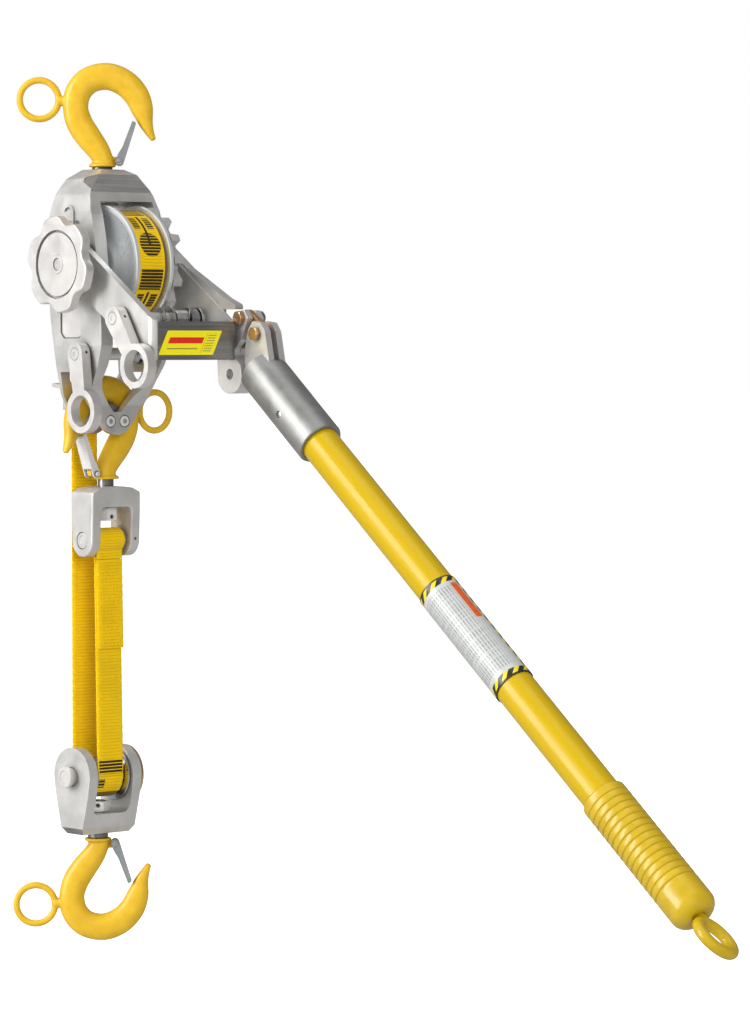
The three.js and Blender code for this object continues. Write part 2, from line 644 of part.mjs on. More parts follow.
function linkPlate(x0, x1) {
  const [from, to] = [[BOLT_1.y, BOLT_1.z], [BOLT_2.y, BOLT_2.z]];
  return cut(
    extrude('x', outline(roundedLink(from, LINK.end, to, LINK.end, 6)), x0, x1),
    rod('x', BOLT_1.y, BOLT_1.z, LINK_BOLT_R + GAP, 30, 80, 14),
    rod('x', BOLT_2.y, BOLT_2.z, LINK_BOLT_R + GAP, 30, 80, 14),
  );
}

function bolt({ y, z }) {
  return join(rod('x', y, z, 6, 41.2, 44.9, 6), rod('x', y, z, LINK_BOLT_R, 44, 70.4, 14));
}

function tube() {
  const wall = ring('z', 0, 0, TUBE.radius - TUBE.wall, TUBE.radius, TUBE.start, TUBE.end, 24);
  return alongHandle(cut(wall, rivetHole()));
}

// A moulded sleeve with a rounded, bored end.
function grip() {
  const inner = TUBE.radius + GAP;
  return alongHandle(turned('z', 0, 0, [
    [inner, GRIP.start], [GRIP.radius - 1, GRIP.start], [GRIP.radius, GRIP.start + 2],
    [GRIP.radius, GRIP.end - 10], [GRIP.radius - 2.6, GRIP.end - 2.6], [GRIP.radius - 8, GRIP.end],
    [5 + GAP, GRIP.end], [5 + GAP, TUBE.end + GAP], [inner, TUBE.end + GAP], [inner, GRIP.start],
  ], 20));
}

// The round eye at the handle's end, on a stem held in the grip.
function endRing() {
  const eye = new THREE.TorusGeometry(END_RING.half, END_RING.band, 6, 16);
  eye.rotateX(Math.PI / 2).rotateZ(END_RING.turn).translate(0, 0, END_RING.mid);
  return alongHandle(join(solid(eye), rod('z', 0, 0, 5, TUBE.end + 1, END_RING.mid - END_RING.half, 12)));
}

function handle() {
  const nut = ({ y, z }) => hexNut('x', y, z, 6.4, LINK_BOLT_R + GAP, 63.4, 69);
  const middle = (LINK.x0 + LINK.x1) / 2;
  return [
    piece('handle_bracket', PALE_ALUMINIUM, handleBracket()),
    piece('bracket_pin', ZINC, rod('x', BRACKET_PIN.y, BRACKET_PIN.z, 4, 44.6, 63.6, 16)),
    piece('handle_socket', PALE_ALUMINIUM, handleSocket()),
    piece('socket_rivet', ALUMINIUM, alongHandle(rod('x', 0, RIVET.s, RIVET.r, -RIVET.half, RIVET.half, 12))),
    piece('link_plate_left', CHROMATE, linkPlate(LINK.x0, middle - GAP / 2)),
    piece('link_plate_right', CHROMATE, linkPlate(middle + GAP / 2, LINK.x1)),
    piece('link_bolt_front', CHROMATE, bolt(BOLT_2)),
    piece('link_bolt_rear', CHROMATE, bolt(BOLT_1)),
    piece('link_nut_front', STEEL, nut(BOLT_2)),
    piece('link_nut_rear', STEEL, nut(BOLT_1)),
    piece('handle_tube', YELLOW_TUBE, tube()),
    piece('handle_label_sleeve', WHITE_LABEL,
      alongHandle(ring('z', 0, 0, TUBE.radius + GAP, SLEEVE.radius, SLEEVE.start, SLEEVE.end, 24))),
    piece('handle_grip', YELLOW_VINYL, grip()),
    piece('handle_end_ring', YELLOW_VINYL, endRing()),
  ];
}

// ---------------------------------------------------------------- dead-end clevis and strap

function clevis() {
  const { half, slot, depth, top, under, pinZ, foot } = CLEVIS;
  const yoke = outline([
    [-half, -395], [-half, top - 4.8], [-half + 8, top - 1.2], [-6, top], [6, top], [half - 8, top - 1.2],
    [half, top - 4.8], [half, -395], [slot, -395], [slot, under - 4], [slot - 4, under], [-slot + 4, under],
    [-slot, under - 4], [-slot, -395],
  ]);
  const cheek = outline([
    ...arc(0, pinZ, foot, 180, 360, 10), [depth, -352], [depth, top], [-depth, top], [-depth, -352],
  ]);
  const whole = extrude('y', yoke, -depth, depth).intersect(extrude('x', cheek, -40, 40));
  return cut(
    whole,
    rod('z', 0, 0, HOOK_SHANK_R + GAP, -360, -320),
    rod('x', 0, pinZ, CLEVIS.pinR + GAP, -40, 40),
  ).translate([END_LINE.x, END_LINE.y, 0]);
}

const LOOP_R = CLEVIS.pinR + GAP;
const LOOP_FOOT_Z = -393;
const FALL_FOOT_Z = BLOCK.pinZ + GAP;
const SEWN_END_Z = -468;
const WRAP_MEAN = SHEAVE.core + GAP + STRAP_T / 2;

function strapEndLoop() {
  const loop = join(
    rod('x', END_LINE.y, CLEVIS.pinZ, LOOP_R + STRAP_T, -STRAP_HALF, STRAP_HALF, 24),
    box(-STRAP_HALF, STRAP_HALF, END_LINE.y - 2 * STRAP_T, END_LINE.y, LOOP_FOOT_Z, CLEVIS.pinZ - 4),
  );
  return cut(loop, rod('x', END_LINE.y, CLEVIS.pinZ, LOOP_R, -30, 30, 24)).translate([END_LINE.x, 0, 0]);
}

// A flat length of strap between two heights; its middle moves from one x, y to the other.
function strapFall(profile, topZ, footZ, topAt, footAt) {
  const options = { depth: 2 * STRAP_HALF, bevelEnabled: false };
  const geometry = new THREE.ExtrudeGeometry(outline(profile), options);
  const placed = new THREE.Matrix4().makeBasis(...AXES.x).setPosition(-STRAP_HALF, 0, 0);
  geometry.applyMatrix4(placed);
  const slopeX = (topAt.x - footAt.x) / (topZ - footZ);
  const slopeY = (topAt.y - footAt.y) / (topZ - footZ);
  const position = geometry.attributes.position;
  for (let i = 0; i < position.count; i++) {
    const rise = position.getZ(i) - footZ;
    const x = position.getX(i) + footAt.x + slopeX * rise;
    const y = position.getY(i) + footAt.y + slopeY * rise;
    position.setXY(i, x, y);
  }
  return solid(geometry);
}

function frontFall() {
  const half = STRAP_T / 2;
  const topZ = LOOP_FOOT_Z - GAP;
  const profile = [
    [-half, FALL_FOOT_Z], [half, FALL_FOOT_Z], [half, topZ], [-half - STRAP_T, topZ],
    [-half - STRAP_T, SEWN_END_Z], [-half, SEWN_END_Z],
  ];
  return strapFall(profile, topZ, FALL_FOOT_Z, { x: END_LINE.x, y: END_LINE.y - half },
    { x: 0, y: BLOCK_LINE.y - WRAP_MEAN });
}

function rearFall() {
  const half = STRAP_T / 2;
  const profile = [[-half, FALL_FOOT_Z], [half, FALL_FOOT_Z], [half, AXLE.z], [-half, AXLE.z]];
  return strapFall(profile, AXLE.z, FALL_FOOT_Z, { x: 0, y: AXLE.y + WRAP_R + GAP + half },
    { x: 0, y: BLOCK_LINE.y + WRAP_MEAN });
}

function deadEnd() {
  return [
    piece('clevis', ALUMINIUM, clevis()),
    piece('clevis_pin', STEEL,
      rod('x', END_LINE.y, CLEVIS.pinZ, CLEVIS.pinR, END_LINE.x - 25, END_LINE.x + 25)),
    piece('strap_end_loop', WEBBING, strapEndLoop()),
    piece('strap_front_fall', WEBBING, frontFall()),
    piece('strap_rear_fall', WEBBING, rearFall()),
  ];
}

// ---------------------------------------------------------------- lower block

function blockCheeks() {
  const { y } = BLOCK_LINE;
  const cheek = outline([
    ...arc(y, BLOCK.pinZ, BLOCK.round, 0, 180, 14), [y - 22.5, -590], [y - 15, -618.6],
    [y - 11, BLOCK.bottom], [y + 11, BLOCK.bottom], [y + 15, -618.6], [y + 22.5, -590],
  ]);
  const front = outline([
    [-BLOCK.outer, -540], [-BLOCK.outer, -619], [-BLOCK.outer + 3.5, BLOCK.bottom],
    [BLOCK.outer - 3.5, BLOCK.bottom],
    [BLOCK.outer, -619], [BLOCK.outer, -540],
  ]);
  return cut(
    extrude('x', cheek, -BLOCK.outer, BLOCK.outer).intersect(extrude('y', front, -40, 60)),
    box(-BLOCK.inner, BLOCK.inner, -40, 60, BLOCK.floor, -500),
    rod('x', y, BLOCK.pinZ, BLOCK.pinR + GAP, -60, 60),
    rod('z', 0, y, HOOK_SHANK_R + GAP, -640, -590),
  );
}

function sheave() {
  const { core, flange, half } = SHEAVE;
  const profile = [
    [BLOCK.pinR + GAP, -half], [flange, -half], [flange, -half + 2.4], [core, -half + 3.4],
    [core, half - 3.4], [flange, half - 2.4], [flange, half], [BLOCK.pinR + GAP, half],
    [BLOCK.pinR + GAP, -half],
  ];
  return turned('x', BLOCK_LINE.y, BLOCK.pinZ, profile, 28);
}

function sheaveWrap() {
  const { y } = BLOCK_LINE;
  const inner = SHEAVE.core + GAP;
  const section = outline([
    ...arc(y, BLOCK.pinZ, inner + STRAP_T, 180, 360, 12), ...arc(y, BLOCK.pinZ, inner, 360, 180, 12),
  ]);
  return extrude('x', section, -STRAP_HALF, STRAP_HALF);
}

function lowerBlock() {
  const { y } = BLOCK_LINE;
  const pin = join(
    rod('x', y, BLOCK.pinZ, BLOCK.pinR, -33, 32),
    rod('x', y, BLOCK.pinZ, BLOCK.pinR + 1.6, -36, -32.6),
  );
  const disc = ring('x', y, BLOCK.pinZ, BLOCK.pinR + GAP, PIN_DISC_R, BLOCK.outer + GAP, 30.6, 28);
  return [
    piece('lower_block', ALUMINIUM, blockCheeks()),
    piece('sheave', ZINC, sheave()),
    piece('sheave_pin', PALE_ALUMINIUM, pin),
    piece('sheave_pin_ring', CHROMATE, disc),
    piece('strap_sheave_wrap', WEBBING, sheaveWrap()),
  ];
}

// ---------------------------------------------------------------- whole winch

const winch = new THREE.Group();
winch.add(...hooks(), ...frame(), ...drumPieces(), ...lever(), ...handle(), ...deadEnd(), ...lowerBlock());

export default winch;
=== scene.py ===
"""The looks of a ratchet-lever web-strap winch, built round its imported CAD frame.

Lengths are in millimetres up to the point where a mesh is made, and metres from there on.
X runs along the drum axle, -Y towards the lever handle and +Z up the load line.
"""

import math
from contextlib import contextmanager

import bmesh
import bpy
from mathutils import Matrix, Vector


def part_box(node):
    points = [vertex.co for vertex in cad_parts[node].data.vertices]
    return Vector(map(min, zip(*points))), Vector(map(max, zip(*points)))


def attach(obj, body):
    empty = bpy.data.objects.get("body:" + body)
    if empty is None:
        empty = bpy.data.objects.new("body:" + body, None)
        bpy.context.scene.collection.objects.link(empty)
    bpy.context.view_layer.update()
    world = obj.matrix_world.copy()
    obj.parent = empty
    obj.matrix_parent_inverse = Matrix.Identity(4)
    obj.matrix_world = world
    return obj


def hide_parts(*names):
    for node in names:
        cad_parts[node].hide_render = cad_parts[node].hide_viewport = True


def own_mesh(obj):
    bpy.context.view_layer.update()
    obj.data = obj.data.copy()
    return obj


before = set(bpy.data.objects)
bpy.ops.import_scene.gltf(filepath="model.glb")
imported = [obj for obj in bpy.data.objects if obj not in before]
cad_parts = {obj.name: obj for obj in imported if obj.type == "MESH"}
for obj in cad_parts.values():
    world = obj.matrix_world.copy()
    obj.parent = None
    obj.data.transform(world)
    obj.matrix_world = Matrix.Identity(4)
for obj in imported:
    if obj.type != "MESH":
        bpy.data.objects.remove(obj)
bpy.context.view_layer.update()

MM = 0.001
GAP = 0.3

# ---------------------------------------------------------------- places taken from the frame


def centre(node):
    """The middle of a CAD node's box, in millimetres."""
    low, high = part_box(node)
    return (low + high) / 2 / MM


def span(node, axis):
    """A CAD node's lowest and highest coordinate on one axis, in millimetres."""
    low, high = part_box(node)
    return low["xyz".index(axis)] / MM, high["xyz".index(axis)] / MM


AXLE = centre("drum_shaft")[1:]
DRIVE = centre("drive_pawl_shaft")[1:]
HOLD = centre("hold_pawl_shaft")[1:]
PIN_X, *CLEVIS_PIN = centre("clevis_pin")
SHEAVE_PIN = centre("sheave")[1:]
BRACKET_PIN = centre("bracket_pin")[1:]
BOLT_REAR = centre("link_nut_rear")[1:]
BOLT_FRONT = centre("link_nut_front")[1:]

SHAFT_R = 8
DRUM_R = 50
DRUM_HALF = 15.8
DRUM_RIM = 20
CORE_R = 29.7
WRAP_R = 46
WRAP_HALF = 15.2
STRAP_HALF = 13.5
STRAP_T = 3
RIB_PITCH = 2.7
ROWS_PER_RIB = 6
HEAD_TOP = -66.6
LEFT_CHEEK = (-36.6, -24.5)
RIGHT_CHEEK = (31, 37)
YOKE_FOOT = -288.4
YOKE_SCREWS = ((-7.4, -277), (7.4, -277))
HOOK_TURN = math.radians(-38)

TOP_HOOK = Matrix.Translation((0, 0, -0.0643)) @ Matrix.Rotation(HOOK_TURN, 4, "Z")
END_HOOK = Matrix.Translation((0.003, 0.0002, -0.3258)) @ Matrix.Rotation(math.pi, 4, "Z")
BOTTOM_HOOK = (
    Matrix.Translation((0, 0.008, -0.629))
    @ Matrix.Rotation(HOOK_TURN, 4, "Z")
    @ Matrix.Rotation(math.pi, 4, "X")
)
HANDLE = Matrix.Translation((0.054, -0.142, -0.2334)) @ Matrix.Rotation(math.radians(128.75), 4, "X")

# ---------------------------------------------------------------- nodes and materials


def put(tree, socket, value):
    """Links a field or an output into a socket, or sets a plain value on it."""
    if isinstance(value, Field):
        value = value.socket
    if isinstance(value, bpy.types.NodeSocket):
        tree.links.new(value, socket)
    else:
        socket.default_value = value


def node(tree, kind, inputs=None, **settings):
    """A shader node with its settings, and its inputs linked or set."""
    made = tree.nodes.new("ShaderNode" + kind)
    for key, value in settings.items():
        setattr(made, key, value)
    for key, value in (inputs or {}).items():
        put(tree, made.inputs[key], value)
    return made


class Field:
    """A value that varies over a surface; arithmetic on it adds math nodes to its tree."""

    def __init__(self, tree, socket):
        self.tree = tree
        self.socket = socket

    def math(self, operation, *values):
        inputs = dict(enumerate([self, *values]))
        return Field(self.tree, node(self.tree, "Math", inputs, operation=operation).outputs[0])

    def __add__(self, other):
        return self.math("ADD", other)

    def __sub__(self, other):
        return self.math("SUBTRACT", other)

    def __mul__(self, other):
        return self.math("MULTIPLY", other)

    def __truediv__(self, other):
        return self.math("DIVIDE", other)

    def __abs__(self):
        return self.math("ABSOLUTE")

    def __lt__(self, other):
        return self.math("LESS_THAN", other)

    def __gt__(self, other):
        return self.math("GREATER_THAN", other)

    def __or__(self, other):
        return self.math("MAXIMUM", other)

    def ramp(self, low, high, to_low=0.0, to_high=1.0):
        """Carries the range from low to high over to another range, held at its ends."""
        inputs = {"Value": self, "From Min": low, "From Max": high, "To Min": to_low, "To Max": to_high}
        return Field(self.tree, node(self.tree, "MapRange", inputs).outputs[0])


def band(value, low, high):
    """1 where a value lies between two limits."""
    return (value > low) * (value < high)


def ruled(value, pitch, share):
    """1 on evenly spaced lines."""
    return (value / pitch).math("FRACT") < share


def rgb(red, green, blue):
    return (red, green, blue, 1.0)


class Surface:
    """A material being put together in object coordinates."""

    def __init__(self, name):
        self.material = bpy.data.materials.new(name)
        self.material.use_nodes = True
        self.tree = self.material.node_tree
        self.where = self.node("TexCoord").outputs["Object"]

    def node(self, kind, inputs=None, **settings):
        return node(self.tree, kind, inputs, **settings)

    def field(self, output, kind, inputs=None, **settings):
        return Field(self.tree, self.node(kind, inputs, **settings).outputs[output])

    def axes(self):
        """The x, y and z of a point, in metres."""
        split = self.node("SeparateXYZ", {"Vector": self.where})
        return [Field(self.tree, socket) for socket in split.outputs]

    def noise(self, scale, detail=3.0, roughness=0.5, stretch=None):
        """Noise in object coordinates, which stretch scales by its own amount on each axis."""
        where = self.where
        if stretch:
            where = self.node("Mapping", {"Vector": where, "Scale": stretch}).outputs[0]
        inputs = {"Vector": where, "Scale": scale, "Detail": detail, "Roughness": roughness}
        return self.field("Fac", "TexNoise", inputs)

    def mix(self, share, first, second):
        """A colour between two others."""
        return self.node("Mix", {0: share, 6: first, 7: second}, data_type="RGBA").outputs[2]

    def paint_crevice_shade(self, colour, crevice_shade, reach=0.005, depth=0.55):
        """Paints shade into a colour where surfaces close in on each other, from an ambient occlusion mask.
        """
        shade = self.field("AO", "AmbientOcclusion", {"Distance": reach}, samples=4)
        return self.mix(shade.ramp(0.35, 0.95, depth, 0.0), colour, crevice_shade)

    def finish(self, colour, roughness, bumps=(), **more):
        """Sets the shader; bumps are (height, distance in metres, strength), more names further inputs."""
        inputs = {"Base Color": colour, "Roughness": roughness}
        for height, distance, strength in bumps:
            below = {"Normal": inputs["Normal"]} if "Normal" in inputs else {}
            layer = {"Height": height, "Distance": distance, "Strength": strength, **below}
            inputs["Normal"] = self.node("Bump", layer).outputs[0]
        for key, value in more.items():
            inputs[key.replace("_", " ")] = value
        for key, value in inputs.items():
            put(self.tree, self.tree.nodes["Principled BSDF"].inputs[key], value)
        return self.material


def cast_metal(name, light, dark, roughness, grain=2600.0, crevice_shade=0.5, metallic=0.75):
    """Blasted cast aluminium: fine sandy pits, soft blotches and painted shade in the corners."""
    skin = Surface(name)
    blotch = skin.noise(55.0, 4.0, 0.55)
    sand = skin.noise(grain, 2.0, 0.6)
    pits = skin.noise(grain / 3.5, 3.0, 0.7)
    colour = skin.mix(blotch.ramp(0.3, 0.7), dark, light)
    colour = skin.mix(pits.ramp(0.62, 0.8, 0.0, 0.35), colour, rgb(0.2, 0.19, 0.18))
    # Painted shade in the corners, from the ambient occlusion mask.
    colour = skin.paint_crevice_shade(colour, rgb(0.06, 0.055, 0.05), 0.006, crevice_shade)
    rough = blotch.ramp(0.25, 0.75, roughness - 0.07, roughness + 0.08)
    bumps = [(sand, 0.00012, 0.55), (pits, 0.0002, 0.35), (blotch, 0.0006, 0.08)]
    return skin.finish(colour, rough, bumps, Metallic=metallic)


def brushed_metal(name, light, dark, roughness, direction, depth=0.5):
    """Machined or brushed metal with fine lines across one axis."""
    skin = Surface(name)
    lines = skin.noise(1.0, 3.0, 0.6, direction)
    blotch = skin.noise(90.0, 3.0, 0.5)
    colour = skin.mix(lines.ramp(0.3, 0.7), dark, light)
    colour = skin.mix(blotch.ramp(0.45, 0.75, 0.0, 0.25), colour, dark)
    # Painted shade where surfaces close in, from the ambient occlusion mask.
    colour = skin.paint_crevice_shade(colour, rgb(0.04, 0.04, 0.04), 0.004, depth)
    rough = lines.ramp(0.25, 0.75, roughness - 0.06, roughness + 0.08)
    return skin.finish(colour, rough, [(lines, 0.00006, 0.5), (blotch, 0.0003, 0.1)], Metallic=1.0)


def plated_metal(name, first, second, roughness, metallic=1.0):
    """Zinc or chromate plate: a bright skin whose tint drifts over the surface."""
    skin = Surface(name)
    drift = skin.noise(38.0, 2.0, 0.5)
    fine = skin.noise(1500.0, 2.0, 0.6)
    colour = skin.mix(drift.ramp(0.35, 0.65), first, second)
    # Painted shade where surfaces close in, from the ambient occlusion mask.
    colour = skin.paint_crevice_shade(colour, rgb(0.05, 0.05, 0.045), 0.004, 0.5)
    rough = fine.ramp(0.3, 0.7, roughness - 0.04, roughness + 0.07)
    return skin.finish(colour, rough, [(fine, 0.00005, 0.35), (drift, 0.0005, 0.08)], Metallic=metallic)


def turned_metal(name, light, dark, roughness):
    """Plated metal with the concentric lines of a lathe round the drum's axle."""
    skin = Surface(name)
    _, y, z = skin.axes()
    y -= AXLE[0] * MM
    z -= AXLE[1] * MM
    radius = (y * y + z * z).math("SQRT")
    lines = {"W": radius * 900.0, "Scale": 1.0, "Detail": 3.0}
    rings = skin.field("Fac", "TexNoise", lines, noise_dimensions="1D")
    cloud = skin.noise(45.0, 3.0, 0.5)
    colour = skin.mix(rings.ramp(0.3, 0.7), dark, light)
    colour = skin.mix(cloud.ramp(0.4, 0.7, 0.0, 0.3), colour, dark)
    # Painted shade where surfaces close in, from the ambient occlusion mask.
    colour = skin.paint_crevice_shade(colour, rgb(0.05, 0.05, 0.045), 0.004, 0.5)
    rough = cloud.ramp(0.3, 0.7, roughness - 0.04, roughness + 0.06)
    return skin.finish(colour, rough, [(rings, 0.00012, 0.6), (cloud, 0.0004, 0.08)], Metallic=0.7)


def powder_coat():
    """Satin yellow powder coat over a forging, with orange peel and rubbed high spots."""
    skin = Surface("hook_paint")
    peel = skin.noise(900.0, 2.0, 0.5)
    forged = skin.noise(110.0, 4.0, 0.6)
    rubbed = skin.noise(420.0, 5.0, 0.7).ramp(0.66, 0.74)
    colour = skin.mix(forged.ramp(0.3, 0.7), rgb(0.66, 0.39, 0.006), rgb(0.75, 0.465, 0.014))
    colour = skin.mix(rubbed * 0.35, colour, rgb(0.95, 0.74, 0.22))
    # Painted shade in the hook's hollows and where parts meet, from the ambient occlusion mask.
    colour = skin.paint_crevice_shade(colour, rgb(0.16, 0.09, 0.005), 0.005, 0.6)
    bumps = [(peel, 0.00010, 0.35), (forged, 0.0007, 0.22)]
    return skin.finish(colour, forged.ramp(0.3, 0.7, 0.34, 0.46), bumps, Coat_Weight=0.15, Coat_Roughness=0.3)


def glass_fibre():
    """Gloss yellow fibreglass tube with faint lengthwise strands under the gel coat."""
    skin = Surface("handle_fibreglass")
    strands = skin.noise(1.0, 3.0, 0.6, (900.0, 900.0, 14.0))
    cloud = skin.noise(24.0, 3.0, 0.5)
    colour = skin.mix(strands.ramp(0.3, 0.7), rgb(0.52, 0.345, 0.0), rgb(0.585, 0.395, 0.0))
    colour = skin.mix(cloud.ramp(0.4, 0.7, 0.0, 0.3), colour, rgb(0.56, 0.36, 0.0))
    bumps = [(strands, 0.00004, 0.4), (cloud, 0.0005, 0.08)]
    return skin.finish(colour, cloud.ramp(0.3, 0.7, 0.24, 0.34), bumps,
                       Specular_IOR_Level=0.22, Coat_Weight=0.14, Coat_Roughness=0.16)


def vinyl():
    """Soft yellow vinyl with a fine moulded grain and painted shade in its grooves."""
    skin = Surface("grip_vinyl")
    grain = skin.noise(1700.0, 2.0, 0.6)
    cloud = skin.noise(60.0, 3.0, 0.5)
    colour = skin.mix(cloud.ramp(0.3, 0.7), rgb(0.50, 0.335, 0.003), rgb(0.59, 0.405, 0.010))
    # Painted shade in the grip's grooves, from the ambient occlusion mask.
    colour = skin.paint_crevice_shade(colour, rgb(0.30, 0.19, 0.0), 0.003, 0.7)
    bumps = [(grain, 0.00004, 0.3), (cloud, 0.0006, 0.12)]
    return skin.finish(colour, cloud.ramp(0.3, 0.7, 0.24, 0.34), bumps,
                       Subsurface_Weight=0.06, Subsurface_Scale=0.002)


def webbing(name, printed=None):
    """Gold polyester webbing; printed gives the share of dark print, and on the sheave wrap also of painted
    shade on its underside, at x, y and z.
    """
    skin = Surface(name)
    x, y, z = skin.axes()
    warp = abs((x * 3300.0).math("SINE"))
    fuzz = skin.noise(2400.0, 3.0, 0.7)
    soil = skin.noise(36.0, 4.0, 0.6)
    groove = skin.field("Pointiness", "NewGeometry")
    # The yarn lines' colour darkens in the troughs of the warp bump: painted shade.
    colour = skin.mix(warp.ramp(0.0, 0.6), rgb(0.74, 0.44, 0.0), rgb(0.92, 0.59, 0.001))
    colour = skin.mix(fuzz.ramp(0.35, 0.8, 0.0, 0.4), colour, rgb(0.96, 0.68, 0.012))
    colour = skin.mix(soil.ramp(0.5, 0.8, 0.0, 0.35), colour, rgb(0.55, 0.34, 0.01))
    # Painted shade: pointiness darkens the hollows between the ribs.
    colour = skin.mix(groove.ramp(0.5, 0.44, 0.0, 0.85), colour, rgb(0.36, 0.19, 0.0))
    if printed:
        print_and_shade = printed(x, y, z) * fuzz.ramp(0.25, 0.5, 0.85, 1.0)
        colour = skin.mix(print_and_shade, colour, rgb(0.022, 0.016, 0.006))
    bumps = [(warp, 0.00022, 0.5), (fuzz, 0.00015, 0.5)]
    return skin.finish(colour, 0.72, bumps, Specular_IOR_Level=0.2, Sheen_Weight=0.08)


def drum_print(x, y, z):
    """Plain dark blocks and bars round the wound strap."""
    across = abs(x)
    round_way = (z - AXLE[1] * MM).math("ARCTAN2", y - AXLE[0] * MM) * (WRAP_R * MM)
    repeat = (round_way / 0.0723).math("FRACT")
    oval = abs((repeat - 0.76) / 0.15).math("POWER", 2.0) + (across / 0.0108).math("POWER", 2.0) < 1.0
    wide_bars = band(repeat, 0.05, 0.30) * (across < 0.0115)
    side_bars = band(repeat, 0.36, 0.55) * band(across, 0.0035, 0.0105)
    spine = band(repeat, 0.33, 0.76) * (across < 0.0012)
    return (oval | wide_bars | side_bars) * ruled(round_way, RIB_PITCH * MM, 0.78) | spine


def sheave_print(x, y, z):
    """Plain dark bars above the sheave's pin, a short block below them, and painted shade on the underside.
    """
    bars = (abs(x) < 0.0122) * band(z, -0.5735, -0.5615)
    block = band(x, -0.0130, -0.0065) * band(z, -0.5850, -0.5775)
    # Below z -0.5888 the strap's underside is darkened: painted shade, not print.
    return (bars | block) * ruled(z, RIB_PITCH * MM, 0.72) | (z < -0.5888) * 0.8


def lever_sticker():
    """A yellow film with a plain red bar, a thin keyline and a column of grey ticks."""
    skin = Surface("yellow_label")
    x, _, z = skin.axes()
    lean = x - (z + 0.2115) * 0.5
    bar = band(lean, -0.0300, 0.0060) * band(z, -0.2120, -0.2070)
    rule = band(lean, -0.0290, 0.0030) * band(z, -0.2168, -0.2158)
    ticks = band(lean, 0.0095, 0.0180) * ruled(z, 0.0021, 0.35)
    dark = (rule | ticks | band(lean, 0.0078, 0.0082)) * band(z, -0.2195, -0.2035)
    fleck = skin.noise(700.0, 3.0, 0.6)
    colour = skin.mix(bar, rgb(0.90, 0.80, 0.005), rgb(0.72, 0.02, 0.01))
    colour = skin.mix(dark * 0.75, colour, rgb(0.10, 0.10, 0.08))
    colour = skin.mix(fleck.ramp(0.6, 0.8, 0.0, 0.2), colour, rgb(0.55, 0.48, 0.1))
    return skin.finish(colour, fleck.ramp(0.3, 0.7, 0.3, 0.42), [(fleck, 0.00004, 0.4)])


def sleeve_print():
    """A white film with hazard borders, an orange panel and rows of plain grey rules."""
    skin = Surface("white_label")
    x, y, s = skin.axes()
    turn = x.math("ARCTAN2", y) * 0.0169
    side = abs(turn + 0.0235)
    hazard = ((turn + s) / 0.0105).math("FRACT") < 0.45
    middle = band(s, 0.2835, 0.3835)
    panel = band(s, 0.2860, 0.3260) * band(turn, -0.0035, 0.0031)
    words = skin.noise(1.0, 1.0, 0.5, (10.0, 10.0, 900.0)) > 0.46
    text = ruled(turn, 0.0026, 0.42) * words * band(s, 0.2875, 0.3790) * (turn < -0.0047)
    fleck = skin.noise(300.0, 3.0, 0.6)
    black = rgb(0.014, 0.014, 0.013)
    colour = skin.mix(text * 0.72, rgb(0.50, 0.515, 0.50), rgb(0.12, 0.12, 0.12))
    colour = skin.mix(panel, colour, rgb(0.70, 0.10, 0.01))
    stripes = skin.mix(hazard, black, rgb(0.80, 0.60, 0.0))
    stripes = skin.mix(band(s, 0.2785, 0.3885), black, stripes)
    centred = middle * (side < 0.0285)
    colour = skin.mix(centred, stripes, colour)
    colour = skin.mix((side > 0.0318) * middle, colour, rgb(0.78, 0.55, 0.0))
    colour = skin.mix(fleck.ramp(0.6, 0.8, 0.0, 0.15), colour, rgb(0.45, 0.42, 0.38))
    return skin.finish(colour, fleck.ramp(0.3, 0.7, 0.24, 0.34), [(fleck, 0.00005, 0.3)])


# How closely brushed lines follow each other on x, y and z.
LENGTHWISE = (12.0, 900.0, 900.0)
TURNED = (1400.0, 60.0, 60.0)
DRAWN = (700.0, 700.0, 40.0)
CAST = cast_metal("cast_aluminium", rgb(0.70, 0.685, 0.66), rgb(0.56, 0.55, 0.53), 0.37, metallic=0.68)
SATIN = cast_metal("satin_aluminium", rgb(0.66, 0.645, 0.62), rgb(0.55, 0.54, 0.52), 0.37, metallic=0.5)
PALE = cast_metal("pale_aluminium", rgb(0.79, 0.77, 0.74), rgb(0.69, 0.67, 0.65), 0.40, 3200.0)
# A darker copy of the pale aluminium for the socket's barrel: painted shade.
SOCKET_SHADE = cast_metal("socket_aluminium_shade", rgb(0.36, 0.36, 0.35), rgb(0.26, 0.26, 0.25), 0.40, 3200.0, 0.4)
# A darker copy of cast aluminium, laid where shade is painted.
CAST_SHADE = cast_metal("cast_aluminium_shade", rgb(0.30, 0.29, 0.275), rgb(0.22, 0.215, 0.20), 0.4)
BRUSHED = brushed_metal("brushed_aluminium", rgb(0.95, 0.93, 0.90), rgb(0.58, 0.57, 0.55), 0.36, LENGTHWISE)
# A darker copy of the brushed finish for the crossbar's front face: the brushed lines are real, the darker
# colour is painted shade.
BAR_FACE_SHADE = brushed_metal("crossbar_brushed_shade", rgb(0.42, 0.42, 0.41), rgb(0.27, 0.27, 0.265), 0.34, LENGTHWISE)
STEEL = brushed_metal("steel", rgb(0.40, 0.40, 0.41), rgb(0.24, 0.24, 0.25), 0.34, DRAWN)
MACHINED = brushed_metal("machined_steel", rgb(0.62, 0.62, 0.62), rgb(0.42, 0.42, 0.43), 0.26, TURNED)
ZINC = plated_metal("zinc_plate", rgb(0.44, 0.47, 0.49), rgb(0.58, 0.58, 0.56), 0.2)
BRIGHT = plated_metal("bright_zinc", rgb(0.86, 0.85, 0.83), rgb(0.94, 0.93, 0.90), 0.3, 0.5)
SPOOL = turned_metal("spool_plate", rgb(0.93, 0.96, 0.97), rgb(0.80, 0.84, 0.86), 0.30)
